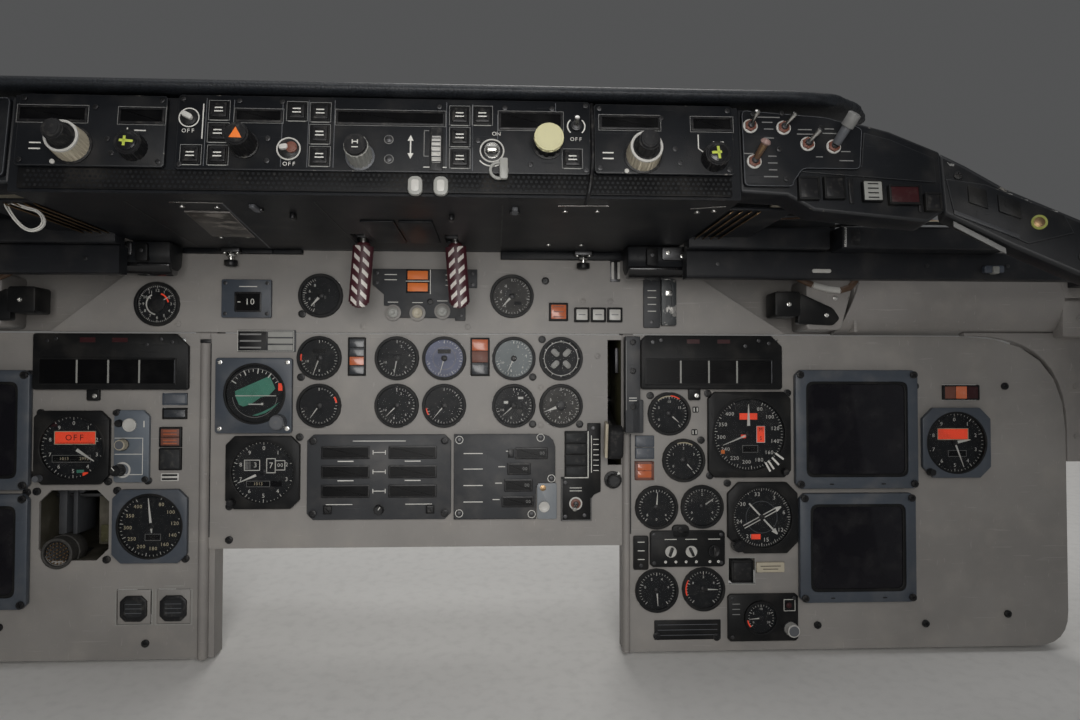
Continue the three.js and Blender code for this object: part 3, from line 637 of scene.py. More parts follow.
def cross(length, width, depth, front):
    a, b = length / 2, width / 2
    outline = [(-a, -b), (-b, -b), (-b, -a), (b, -a), (b, -b), (a, -b), (a, b), (b, b), (b, a), (-b, a),
        (-b, b), (-a, b)]
    return [plate("blackPlastic", outline, front - depth, front + 1, edge=0)]


def makeScrew(look, radius, height, slots):
    item = turned(look, radius, -0.5, height, [(radius * 0.25, 0), (0, height * 0.12)], 20, 0.3)
    cutters = cross(radius * 1.2, radius * 0.26, height * 0.6, height * 1.12) if slots == 2 else \
        [block(look, radius * 1.6, radius * 0.28, height * 0.5, height + 2, edge=0)]
    return carve(item, cutters)


blackScrew = makeScrew("blackPlastic", 4.3, 2.4, 2)
smallScrew = makeScrew("darkMetal", 2.2, 1, 2)
steelScrew = makeScrew("steel", 2.6, 1.1, 2)
paintedScrew = makeScrew("boardPaint", 3.4, 1.1, 1)


def flutedKnob(look, radius, height, flutes, depth=0.5, cap=None, top=0.92):
    item = turned(look, radius, 0, height, sides=flutes * 2, edge=0, top=radius * top)
    choose(item, "FACE", lambda face: abs(face.normal.z) < 0.5 and
        round(math.degrees(math.atan2(face.normal.y, face.normal.x)) * flutes / 180 - 0.5) % 2 == 0)
    bpy.ops.mesh.inset(thickness=radius * 0.03, use_individual=True)
    bpy.ops.transform.shrink_fatten(value=-depth)
    leave()
    choose(item, "FACE", frontMost(item))
    bpy.ops.mesh.inset(thickness=radius * 0.14)
    bpy.ops.mesh.extrude_region_move(TRANSFORM_OT_translate={"value": (0, 0, height * 0.06)})
    if cap:
        item.data.materials.append(finishes[cap])
        item.active_material_index = 1
        bpy.ops.object.material_slot_assign()
    leave()
    return soften(item, min(0.3, radius * 0.04), 1, angle=30)


# Toggle switch: ringed nut, ball seat and a lever that widens to its tip
def makeToggle():
    ring = turned("steel", 6.2, 0, 1.4, sides=28, edge=0.3)
    nut = turned("steel", 5.2, 1.4, 3.4, [(0.8, 0.5)], 6, 0.25)
    seat = turned("darkMetal", 3, 3, 5.4, [(0.5, 0.6)], 20, 0.3)
    lever = turned("steel", 1.6, 4, 17, [(0, 0)], 16, 0.5, top=2.8)
    tip = turned("steel", 2.8, 16.6, 18, [(0.8, 0.5)], 16, 0.4)
    return ring, nut, seat, join([lever, tip])


toggleParts = makeToggle()


def toggle(x, y, z, across, up, look="steel", washer="steel", nutLook="steel", slim=1):
    base, nut, seat, lever = toggleParts
    arm = put(lever, 0, 0, -4, size=(slim, slim, 1), look=look)
    arm.data.transform(moved(x, y, z + 4) @ spun(across, "Y") @ spun(-up, "X"))
    mount = [put(base, x, y, z, look=washer), put(nut, x, y, z, look=nutLook)] if washer else []
    return mount + [put(seat, x, y, z), arm]


# Square push key: a framed cap with a dished front
def makeKey():
    cap = block("blackPlastic", 13.4, 13.4, -1, 2.2, corner=1.6, edge=0.5)
    sunk(cap, 2, 0.5)
    frameBar = carve(block("blackPaint", 16, 16, -1, 1, corner=1.2, edge=0.3),
        [block("blackPaint", 13.8, 13.8, -2, 2, corner=1.4, edge=0)])
    return join([frameBar, smooth(cap)])


pushKey = makeKey()


# Round gauge: bezel ring, dial, marks, needles and glass, about its own middle
def ring(look, outer, inner, back, front, sides=48, edge=0.5):
    hoop = turned(look, outer, back, front, sides=sides, edge=0)
    return soften(carve(hoop, [turned(look, inner, back - 1, front + 1, sides=sides, edge=0)]), edge)


smallRing = ring("blackPaint", 25.25, 21.8, -3, 4)
smallDial = turned("dialBlack", 22.4, -2, 0.8, sides=40, edge=0)
smallGlass = turned("glass", 22, 2.3, 2.9, sides=40, edge=0)
largeDial = turned("dialBlack", 37.5, -2, 1.2, sides=56, edge=0)
largeGlass = turned("glass", 37, 4.2, 5, sides=56, edge=0)
hub = turned("blackPlastic", 3.4, 0, 1.6, [(0.8, 0.4)], 24, 0.3)


def spot(radius, angle):
    return radius * math.sin(math.radians(angle)), radius * math.cos(math.radians(angle))


def scale(z, radius, start, end, count, every=5, long=4, short=2.2, width=0.45, look="whiteMark"):
    parts = []
    for step in range(count + 1):
        angle = start + (end - start) * step / count
        length = long if step % every == 0 else short
        x, y = spot(radius - length / 2, angle)
        parts.append(line(x, y, width * (1.5 if step % every == 0 else 1), length, z, look, -angle))
    return parts


def figures(z, radius, start, end, texts, size, look="whiteMark"):
    parts = []
    for step, text in enumerate(texts):
        x, y = spot(radius, start + (end - start) * step / max(1, len(texts) - 1))
        parts += number(text, x, y, z, size, look)
    return parts


def band(z, radius, start, end, width, look):
    count = max(3, int(abs(end - start) / 4))
    chord = 2 * radius * math.sin(math.radians(abs(end - start) / count / 2)) * 1.08
    return [line(*spot(radius, start + (end - start) * (step + 0.5) / count), chord, width, z, look,
            -(start + (end - start) * (step + 0.5) / count)) for step in range(count)]


def hand(z, angle, length, width=1.6, start=0, look="whiteMark"):
    x, y = spot(start, angle)
    return put(needle, x, y, z, -angle, (width, length - start, 1), look)


def arrow(z, angle, tail, tip, gap, width, look="whiteMark"):
    # a pointer with a head; a gap makes it two bars side by side
    parts = []
    for side in ((-1, 1) if gap else (0,)):
        x, y = spot((tip - tail) / 2 - 2, angle)
        across, along = spot(side * gap / 2, angle + 90)
        parts.append(line(x + across, y + along, width, tip + tail - 4, z, look, -angle))
    x, y = spot(tip - 7, angle)
    return parts + [put(needle, x, y, z, -angle, (6, 7, 1), look)]


def dialMarks(z, face):
    parts = []
    for look, points in face.get("shapes", []):
        parts.append(plate(look, points, z - 0.2, z + 0.25, edge=0))
    for row in face.get("scales", []):
        parts += scale(z, *row)
    for row in face.get("figures", []):
        parts += figures(z, *row)
    for row in face.get("bands", []):
        parts += band(z, *row)
    for row in face.get("hands", []):
        parts.append(hand(z + 0.7, *row))
    for row in face.get("arrows", []):
        parts += arrow(z + 0.7, *row)
    for x, y, width, height, look in face.get("patches", []):
        parts.append(line(x, y, width, height, z + 0.1, look))
    for x, y, width, height, thick, look in face.get("boxes", []):
        parts += boxLines(x, y, width, height, z + 0.15, thick, look)
    for text, x, y, size, look in face.get("words", []):
        parts += number(text, x, y, z + 0.2, size, look)
    for angle, start, end, width, look, above in face.get("rays", []):
        x, y = spot((start + end) / 2, angle)
        parts.append(line(x, y, width, end - start, z + above, look, -angle))
    if face.get("hub", True):
        grow = face.get("hubSize", 3.4) / 3.4
        parts.append(put(hub, 0, 0, z, size=(grow, grow, 1)))
    return parts


def gaugeParts(face, x=0, y=0):
    parts = [put(smallRing, look="blackPaint"), put(smallDial, look=face.get("ground", "dialBlack")), put(smallGlass)]
    parts += dialMarks(0.85, face)
    return shift(join(parts), x, y)


def caseParts(width, height, depth, plugs=1):
    case = block("caseMetal", width, height, -depth, -0.5, corner=2.5, steps=2, edge=0.6)
    parts = [case]
    for index in range(plugs):
        x = (index - (plugs - 1) / 2) * 26
        socket = turned("darkMetal", min(11, height * 0.3), 0, 9, [(1.4, -1.5)], 24, 0.5)
        parts.append(shift(leaned(socket, 180, "Y"), x, 0, -depth))
    return parts


def corners(width, height, inset, screw, z):
    return [put(screw, sx * (width / 2 - inset), sy * (height / 2 - inset), z, turn=(sx * 31 + sy * 17))
        for sx in (-1, 1) for sy in (-1, 1)]


# A square instrument with a round opening in its bezel
threeInch = {"size": (82.7, 82.7), "corner": 13, "look": "blackPaint", "thick": 7, "opening": 36,
    "middle": (0, 0), "depth": 150}


def squareInstrument(face):
    face = {**threeInch, **face}
    width, height = face["size"]
    thick, opening, look = face["thick"], face["opening"], face["look"]
    bezel = plate(look, cutRectangle(width, height, face["corner"]), 0.3, thick, edge=1)
    dialX, dialY = face["middle"]
    bezel = carve(bezel, [shift(turned(look, opening, -1, thick + 1, sides=56, edge=0), dialX, dialY)])
    lip = ring("blackPaint", opening + 0.9, opening - 1.6, thick - 4.6, thick + 0.5, sides=56)
    grow = opening / 37
    parts = [bezel, shift(lip, dialX, dialY),
        put(largeDial, dialX, dialY, size=(grow, grow, 1), look=face.get("ground", "dialBlack")),
        put(largeGlass, dialX, dialY, size=(grow, grow, 1))]
    parts += [block("boardPaint", 15, 15, -2.6, 0.04, sx * (width / 2 - 8), sy * (height / 2 - 8), edge=0)
        for sx in (-1, 1) for sy in (-1, 1)]
    parts += dialMarks(1.25, face)
    parts += caseParts(width - 8, height - 8, face["depth"])
    for x, y, radius, out, look in face.get("knobs", []):
        knob = flutedKnob(look, radius, out, 12, depth=0.4)
        parts.append(shift(knob, x, y, thick))
    if face.get("screws"):
        parts += corners(width, height, 5.2, steelScrew, thick)
    return parts


print("small parts modelled")

# Displays: a wide bezel round a dark screen with rounded corners
displays = [
    # piece, middle, size, glass
    ("captain_primary_display", (-500.4, -110), (147, 134), (122, 108)),
    ("captain_navigation_display", (-500.4, -245), (147, 128), (122, 102)),
    ("first_officer_primary_display", (516.2, -110.7), (147, 139), (122, 112)),
    ("first_officer_navigation_display", (516.5, -249), (139, 127), (114, 102)),
]
for name, at, (width, height), (wide, tall) in displays:
    bezel = plate("bluePaint", cutRectangle(width, height, 6), 0.3, 9, edge=1.6)
    bezel = carve(bezel, [plate("blackPaint", rounded(rectangle(wide, tall), 9), -1, 12, edge=0)])
    inner = plate("blackPaint", rounded(rectangle(wide + 1.6, tall + 1.6), 9), 1, 8, edge=0)
    opening = plate("blackPaint", rounded(rectangle(wide - 7, tall - 7), 8), 0, 9, edge=0)
    inner = soften(carve(inner, [opening]), 1.2)
    screen = plate("screen", rounded(rectangle(wide - 3, tall - 3), 8), 2, 6.6, edge=0.9)
    choose(screen, "FACE", frontMost(screen))
    bpy.ops.mesh.inset(thickness=2)
    leave()
    parts = [bezel, inner, screen] + corners(width, height, 5.6, blackScrew, 9)
    parts += caseParts(width - 7, height - 16, 190, 3)
    parts += [block("blackPlastic", 5, 1.4, 8.6, 9.5, x, -height / 2 + 5.5, edge=0.3) for x in (-31, 31)]
    settle(name + "_unit", parts, panelAt(*at), [name])
print("displays modelled")

# Three inch instruments and the larger airspeed indicator
tenths = "0 1 2 3 4 5 6 7 8 9".split()
speeds = "80 100 120 140 160 180 200 250 300 350 400".split()
manySpeeds = "80 100 120 140 160 180 200 220 240 300 350 400".split()
headings = "3 6 12 15 21 24 30 33".split()
tenthScale = [(35, 0, 360, 50)]
tenthFigures = [(27, 0, 324, tenths, 6.2)]
instruments = [
    {"name": "captain_altimeter", "at": (-381.8, -129.8), "corner": [7, 10, 10, 9],
        "scales": tenthScale, "figures": tenthFigures, "hands": [(124, 28, 3.6, 4.7)],
        "patches": [(1.7, 10.7, 44, 13.4, "flagRed"), (1.7, 4.6, 40, 1.6, "darkRed"), (-2, -12.8, 42, 7.6, "window"),
        (13.6, -31, 6, 6, "flagRed"), (8, -27, 8, 3.4, "horizonGreen"), (-22, 25, 8, 3, "darkRed")],
        "boxes": [(1.7, 10.7, 45, 14.4, 0.7, "creamMark"), (-2, -12.8, 42, 7.6, 0.5, "greyMark")],
        "words": [("OFF", 1.7, 10.6, 9.5, "dialBlack"), ("1013", -10, -12.8, 4.6, "creamMark"),
        ("2992", 12, -12.8, 4.6, "creamMark")], "knobs": [(-34, -34, 4, 9, "greyPlastic")]},
    {"name": "captain_outboard_altimeter", "at": (-621, -127), "scales": tenthScale, "figures": tenthFigures,
        "hands": [(205, 31, 2.2), (40, 19, 4)], "patches": [(-2, 10, 40, 12, "flagRed"), (2, -13, 22, 7, "window")],
        "boxes": [(-2, 10, 41, 13, 0.7, "creamMark"), (2, -13, 22, 7, 0.5, "greyMark")],
        "knobs": [(-34, -34, 4, 9, "greyPlastic")]},
    {"name": "captain_airspeed_indicator", "at": (-295.1, -218.2), "corner": 10, "look": "bluePaint",
        "scales": [(35, 20, 330, 44, 4)], "figures": [(26, 25, 325, speeds, 5.6, "creamMark")],
        "bands": [(36, 50, 120, 1.4, "creamMark")], "hands": [(-6, 31, 2.8), (174, 8, 3.4)],
        "patches": [(2, -13, 17, 7, "window")], "boxes": [(2, -13, 17, 7, 0.5, "greyMark")]},
    {"name": "radio_magnetic_indicator", "at": (404, -213.6), "corner": [13, 13, 13, 19],
        "scales": [(34, 0, 360, 72, 6, 3.6)], "figures": [(27, 34, 349, headings, 6.4)],
        "bands": [(18.5, 0, 360, 0.5, "greyPlastic"), (37, 0, 360, 0.7, "greyMark")],
        "arrows": [(62, 24, 26, 3.4, 1.1), (137, 22, 27, 0, 1.9)],
        "patches": [(-7, -22.7, 11, 6, "flagRed"), (0, 35.6, 3, 4, "creamMark")],
        "knobs": [(-31, -31, 7.6, 10, "shinyBlack")]},
    {"name": "first_officer_outboard_altimeter", "at": (637.4, -127),
        "look": "bluePaint", "scales": tenthScale, "figures": tenthFigures, "hands": [(160, 31, 2.2), (80, 19, 4)],
        "patches": [(-2, 10, 36, 12, "flagRed"), (3, -13, 22, 7, "window")],
        "boxes": [(-2, 10, 37, 13, 0.7, "creamMark"), (3, -13, 22, 7, 0.5, "greyMark")],
        "knobs": [(-34, -34, 4.2, 9, "blackPlastic")]},
    {"name": "standby_horizon", "at": (-181.5, -71.4), "size": (85.8, 85.6), "corner": 2, "look": "bluePaint",
        "opening": 34, "middle": (1, 2), "hub": False, "screws": True,
        "shapes": [("horizonGreen", [(-22.3, 4.9), (16.5, 22.3), (22.9, 7.8), (15.5, 0), (6.8, -1.9), (-3.9, -9.7),
        (-12.6, -12.6), (-17.5, -10.7), (-21.4, -1.9)]),
        ("horizonGreen", [(-2.9, -22.9), (8, -19), (18, -14), (27.2, -7.8), (22, -13.5), (12, -20), (3, -23)])],
        "bands": [(30.6, -62, 62, 0.5, "greyMark"), (25, 95, 265, 0.6, "greyMark")],
        "rays": [(angle, 25, 31, 1.2, "whiteMark", 0.2) for angle in (-57, -24, 7, 36)]
        + [(angle, 27, 30, 0.7, "whiteMark", 0.2) for angle in (-46, -35, -14, -4, 17, 26, 47, 58)],
        "patches": [(1, -0.4, 46, 0.8, "whiteMark"), (8.2, -9.7, 2.4, 2.4, "whiteMark"), (28.6, 9.7, 4.6, 8.6,
            "flagRed"),
        (0, -10, 14, 1.2, "whiteMark")], "knobs": [(29.3, -30, 9, 14, "greyPlastic")]},
    {"name": "standby_altimeter", "at": (-170.8, -158.5), "corner": 10,
        "scales": tenthScale, "figures": [(27, 0, 324, tenths, 6.4)], "hands": [(247, 31, 2.8, 9)],
        "patches": [(-17.6, 7.8, 6, 9, "greyMark")] + [(-15.4 + step * 1.6, 7.8, 0.7, 9, "dialBlack")
            for step in (-2, -1, 0)]
        + [(-6, -13.4, 26, 6.4, "window"), (14, -13.4, 13, 6.4, "window")],
        "boxes": [(-13, 7.8, 17, 11.6, 0.9, "whiteMark"), (8.2, 7.2, 9.6, 16, 0.9, "whiteMark"),
        (18.5, 7.6, 10.5, 10.6, 0.9, "whiteMark"), (-6, -13.4, 26, 6.4, 0.5, "greyMark")],
        "words": [("3", -9.4, 7.8, 8, "whiteMark"), ("7", 8.2, 7.2, 9.4, "whiteMark"), ("00", 18.5, 7.6, 6,
            "whiteMark"),
        ("1013", -6, -13.4, 4.6, "creamMark")], "knobs": [(-33, -33, 4.5, 10, "blackPlastic")]},
    {"name": "first_officer_airspeed_indicator", "at": (388.9, -116.8), "size": (98, 100), "corner": 8,
        "opening": 43.4, "depth": 160, "scales": [(41, 25, 335, 62)], "figures": [(32.5, 25, 317, manySpeeds, 6.2)],
        "bands": [(42.8, 0, 360, 0.8, "whiteMark")], "hands": [(0, 35, 3.6, 10), (247.5, 33, 2.2, 4)],
        "patches": [(0, 21, 21, 7.5, "flagRed"), (14.6, 0, 9.6, 19, "flagRed"), (-6, -2.4, 6, 4, "flagRed"),
        (-30.5, -20.4, 4.4, 4.4, "orange"), (2, -17, 18, 8, "window")],
        "boxes": [(14.6, 0, 9.6, 19, 0.6, "whiteMark"), (2, -17, 18, 8, 0.5, "greyMark")],
        "words": [("M", 14.6, 5.4, 6, "dialBlack"), ("S", 14.6, -4.8, 6, "dialBlack")],
        "rays": [(angle, 37, 49, 2.2, "whiteMark", 6.4) for angle in (151, 145, 136, 126)],
        "knobs": [(40, -43, 4, 9, "blackPlastic")]},
]
for unit in instruments:
    settle(unit["name"] + "_unit", squareInstrument(unit), panelAt(*unit["at"]), [unit["name"]])
print("square instruments modelled")

# Round gauges in their racks
topWindow = [(0, 8, 15, 5, "window")]
percent = [(20.5, 0, 260, 26, 5, 3.2, 1.8)]
wideScale = [(20.5, -140, 140, 28, 7, 3.6, 2)]
tens = [(14.5, 20, 250, "2 4 6 8 10".split(), 4)]
engineFaces = [
    ((-109.3, -28.5), {"hands": [(200, 18)], "patches": topWindow, "figures": [(14.5, 180, 255, ["8", "10"], 4)],
        "bands": [(20.8, 262, 282, 1.4, "flagRed")]}),
    ((-21, -28.5), {"hands": [(190, 18)], "patches": topWindow, "figures": tens}),
    ((33.2, -28.5), {"ground": "dialBlue", "hands": [(196, 18)], "bands": [(13, 0, 360, 0.6, "greyMark")],
        "patches": topWindow}),
    ((113.5, -28.5), {"ground": "dialPale", "hands": [(205, 17)], "figures": tens}),
    ((168.4, -28.5), {"hub": False, "scales": [], "bands": [(19.6, 0, 360, 0.7, "whiteMark")],
        "rays": [(angle, 19.6, 21.4, 1, "whiteMark", 0) for angle in range(0, 360, 30)]}),
    ((-109.3, -83.2), {"hands": [(215, 17)], "bands": [(20, 60, 80, 2, "flagRed")]}),
    ((-21, -83.2), {"hands": [(225, 17)], "figures": tens}),
    ((33.2, -83.2), {"hands": [(220, 17)], "bands": [(20.6, 240, 262, 1.4, "flagRed")]}),
    ((113.5, -83.2), {"hands": [(228, 17)], "figures": tens,
        "patches": [(-9, 4, 5, 3, "whiteMark"), (8, 9, 6, 2.6, "whiteMark"), (7, -6, 5, 4, "dialGrey")]}),
    ((168.4, -83.2), {"ground": "dialGrey", "hubSize": 6, "hands": [(250, 17, 3.4, 6)],
        "figures": [(13.8, 20, 300, "1 2 3 4 5 6".split(), 4.6)]}),
]
systemFaces = [
    ((295.2, -92.6), {"hands": [(132, 15, 1.6, 5)], "figures": [(14, -120, 60, "0 5 10 15".split(), 4)],
        "bands": [(21, 5, 35, 1.4, "flagRed"), (20.4, -40, 5, 1.2, "creamMark")]}),
    ((312, -147), {"hands": [(138, 15, 1.6, 6)], "figures": [(14, -120, 60, "0 1 2 3".split(), 4)],
        "bands": [(20.6, -20, 30, 1.4, "creamMark")]}),
    ((279.9, -201.6), {"hands": [(4, 18, 1.6, 3)], "figures": [(14, 130, 230, ["4", "0", "8"], 4)]}),
    ((333.6, -201), {"hands": [(55, 17, 1.6, 5)], "figures": [(14, -120, 120, "0 1 2 3 4".split(), 4)]}),
    ((280, -297.6), {"hands": [(176, 18, 1.6, 3)], "figures": [(14, -75, 75, "0 2 4 6".split(), 4)]}),
    ((334.8, -296.6), {"hands": [(92, 17, 1.6, 5)], "figures": [(14, -60, 60, ["0", "2", "4"], 4)],
        "bands": [(20.6, 250, 300, 1.6, "flagRed")]}),
]
hours = "1 2 3 4 5 6 7 8 9 10 11 12".split()
upperFaces = [
    ((-291.9, 32.4), {"scales": [(21, 0, 360, 60, 5, 3, 1.6)], "figures": [(15.4, 30, 360, hours, 4.6)],
        "bands": [(12, 190, 330, 1.4, "whiteMark"), (12.4, 20, 80, 1.6, "flagRed")],
        "hubSize": 9, "hands": [(312, 13, 2), (58, 18)]}),
    ((-108.3, 43.1), {"scales": [(20.5, 205, 340, 18, 5, 4, 2.4)],
        "figures": [(13.4, 215, 330, "2 4 6 8".split(), 4.6)], "hands": [(222, 16, 3.4)],
        "words": [("0", 5, -2, 5, "greyMark"), ("1", 9.6, 6, 5, "greyMark")]}),
    ((111.1, 43.8), {"ground": "dialGrey", "hands": [(222, 16, 3)],
        "figures": [(13.4, 215, 330, "2 4 6 8".split(), 4.6)],
        "patches": [(-5, 4, 9, 7, "blackPlastic"), (7, -8, 8, 4, "dialBlack")]}),
]


def rackParts(faces, depth, straps, scales=percent):
    parts = []
    for (x, y), face in faces:
        parts.append(gaugeParts({"scales": scales, **face}, x, y))
        can = turned("caseMetal", 25.1, -depth, -2.5, sides=36, edge=0.8)
        socket = shift(leaned(turned("darkMetal", 9, 0, 8, [(1.4, -1.5)], 20, 0.5), 180, "Y"), 0, 0, -depth)
        parts.append(shift(join([can, socket]), x, y))
    for x0, x1, y0, y1 in straps:
        parts.append(block("caseMetal", x1 - x0, y1 - y0, -depth - 2, -depth + 2, (x0 + x1) / 2, (y0 + y1) / 2))
    return parts


# Lights: a framed lens, its face split into cells
def lens(x, y, width, height, out, look, rim="blackPaint", rows=1, columns=1, frameWidth=1.6, back=-36):
    shell = sunk(block(rim, width, height, back, out, x, y, corner=0.8, steps=2, edge=0.35), frameWidth, 1)
    parts = [shell]
    cellWide = (width - 2 * frameWidth) / columns
    cellTall = (height - 2 * frameWidth) / rows
    for row in range(rows):
        for column in range(columns):
            cx = x - width / 2 + frameWidth + cellWide * (column + 0.5)
            cy = y - height / 2 + frameWidth + cellTall * (row + 0.5)
            shade = look[(row * columns + column) % len(look)] if isinstance(look, list) else look
            parts.append(block(shade, cellWide - 0.7, cellTall - 0.7, out - 1.2, out - 0.25, cx, cy, 0.5, 2, 0.25))
    return parts


engineParts = rackParts(engineFaces, 90,
    [(-128, 188, -64, -48), (-120, -99, -83, -28), (-32, 44, -83, -28), (103, 179, -83, -28)])
for angle in (45, 135, 225, 315):
    x, y = spot(9.6, angle)
    petal = block("paleGrey", 6.4, 10.5, 0.8, 2, corner=2.8, edge=0.3)
    engineParts.append(shift(leaned(petal, -angle, "Z"), 168.4 + x, -28.5 + y))
engineParts += lens(-66.7, -26.7, 20, 44, 3, ["greyLens", "amberLens", "greyLens", "greyLens"], rows=4, back=-90)
engineParts += lens(74.3, -26.7, 22, 44, 3, ["greyLens", "rust", "amberLens"], rows=3, back=-90)
settle("engine_gauges", engineParts, onPanel, ["engine_gauge_rack"])
settle("system_gauges", rackParts(systemFaces, 90, [(288, 324, -310, -80)], wideScale), onPanel,
    ["system_gauge_rack"])
settle("upper_gauges", rackParts(upperFaces, 125, [(-302, 122, 34, 50)]), onPanel, ["upper_gauge_rack"])
print("gauges modelled")


# Flat control plates: windows, keys, knobs and screws on a faceplate with a case behind
def readout(x, y, width, height, front):
    # a dark window sunk in a thin proud rim
    return sunk(block("blackPlastic", width + 3, height + 3, front - 3, front + 1.1, x, y, 1.2, 2, 0.3), 1.5,
        0.9, "window")


def smallKnob(look, radius, out, x, y, z, flutes=12, cap=None, pointer=None):
    skirt = turned("blackPlastic", radius * 1.08, 0, 1.2, [(0.4, 0.3)], 32, 0.3)
    parts = [skirt, shift(flutedKnob(look, radius, out - 1.2, flutes, radius * 0.06, cap), 0, 0, 1.2)]
    if pointer is not None:
        mark = put(tick, 0, radius * 0.45, out * 1.05 - 0.1, 0, (radius * 0.16, radius * 0.7, 2), "whiteMark")
        parts.append(leaned(mark, -pointer, "Z"))
    return shift(join(parts), x, y, z)


def ovalRing(look, x, y, z, outer, inner, height=1.2):
    return shift(ring(look, outer, inner, 0, height, sides=32, edge=0.25), x, y, z)


# Engine data plate
dataRows = [28, 6, -16]
parts = [plate("greyPaint", cutRectangle(163, 96.8, 7), 0.3, 5, edge=0.8)]
for y in dataRows:
    parts += [readout(x, y, 52, 12, 5) for x in (-38, 38)]
    parts += [line(0, y, 14, 0.9, 5.05), line(-7, y, 0.9, 5, 5.05), line(7, y, 0.9, 5, 5.05)]
parts += [line(x, y - 10, 18, 1.2, 5.05) for x in (-38, 38) for y in (28, 6)]
parts += [line(0, 41, 60, 0.9, 5.05), line(-45, -31, 30, 0.9, 5.05), line(45, -31, 30, 0.9, 5.05)]
parts += [put(pushKey, x, -37, 4.6, size=(0.62, 0.62, 1)) for x in (-58, 58)]
parts += [smallKnob("blackPlastic", 5.5, 8, 0, -37, 5, pointer=30)]
parts += corners(163, 96.8, 7, blackScrew, 5) + caseParts(150, 86, 120, 3)
settle("engine_data_unit", parts, panelAt(-40, -164.3), ["engine_data_panel"])

# Fuel quantity plate: its right side is drawn in low down, where a pale plate stands
fuelOutline = [(-47.7, -48.5), (45.7, -48.5), (45.9, -13), (49, -7.4), (68.1, -7), (68.1, 34), (65.8, 41),
    (60.8, 46.2), (52.8, 48.5), (-47.7, 48.5)]
fuelWindows = [(40.9, 26.4, 36.8, 11.8), (26.6, 8.6, 25.7, 11.8), (26, -10.2, 31.5, 12.8), (25.3, -29, 35.9, 11.1)]
parts = [plate("greyPaint", fuelOutline, 0.3, 5, edge=0.8)] + path(fuelOutline, 0.8, 5.02, "blackPlastic",
    closed=True)
for x, y, width, height in fuelWindows:
    parts.append(readout(x, y, width - 1.6, height - 1.4, 5))
    parts += number("00", x + width / 2 - 6, y, 5.3, 5.2, "greyMark")
    parts += [line(x - width / 2 - 7, y + 2.6, 8, 1, 5.05), line(-26, y, 22, 1, 5.05)]
parts += [block("blackPlastic", 7, 10, 4, 6.2, 17.4, 26.4, 1, 2, 0.3)]
parts += [piece for x, y in ((51.5, 44.4), (64, -2.6), (41.2, -43.4), (-42, 42), (-42, -42))
    for piece in (ovalRing("whiteMark", x, y, 4.9, 4.6, 3.8, 0.4), put(smallScrew, x, y, 5))]
sidePlate = plate("palePaint", rounded(rectangle(22.8, 41.2), 2), 0.3, 4.6, edge=0.6)
button = turned("white", 6.2, 4, 7.4, [(1.3, -0.6)], 28, 0.5)
parts += [shift(sidePlate, 58.8, -28.6), shift(button, 55.7, -35), put(paintedScrew, 54.2, -13.5, 4.6, look="bronze")]
parts += caseParts(84, 86, 120, 2)
settle("fuel_quantity_unit", parts, panelAt(93, -164.3), ["fuel_quantity_panel"])

# Brake and warning plate: four dark cells, a row of labels and a ringed valve toggle
brakeOutline = [(-22.9, -50.1), (12.7, -50.1), (12.7, -24), (15.4, -20), (23.1, -16.4), (23.1, 62.7),
    (7.8, 62.7), (7.8, 53.7), (-18.7, 53.7), (-18.7, 0.4), (-22.9, 0.4)]
parts = [plate("blackPaint", brakeOutline, 0.3, 4, edge=0.7)]
for y in (45.7, 33, 20, 7):
    parts += lens(-5.8, y, 24.6, 12.4, 7, "dullCell", frameWidth=0.9, back=1)
parts += path([(8.4, 53), (8.4, -0.2), (-18.4, -0.2)], 1.1, 4.1)
parts += path([(-22, -2), (-22, -49.2), (11.8, -49.2), (11.8, -24)], 0.7, 4.1, "greyMark")
parts += [line(12.3, 27, 0.8, 43, 4.1)] + bars(17.6, range(8, 50, 6), 6.4, 0.8, 4.1)
valve = ring("white", 7.6, 5.8, 0, 1.2, sides=36, edge=0.3)
parts += [shift(valve, -6, -30, 3.9), shift(turned("rust", 5.6, 3.9, 5, [(1, 0.3)], 32, 0.3), -6, -30)]
parts += toggle(-6, -30, 4, -12, -18, "steel", washer=None, slim=0.85)
parts += bars(-6, (-12, -15.4), 14, 0.8, 4.1)
parts += spread(smallScrew, 4, ((14.5, 57), (4.1, -43.7), (-18, -6), (-18, -45)))
parts += caseParts(24, 90, 60)
settle("brake_and_warning_unit", parts, panelAt(191.2, -166), ["brake_and_warning_panel"])
print("engine plates modelled")

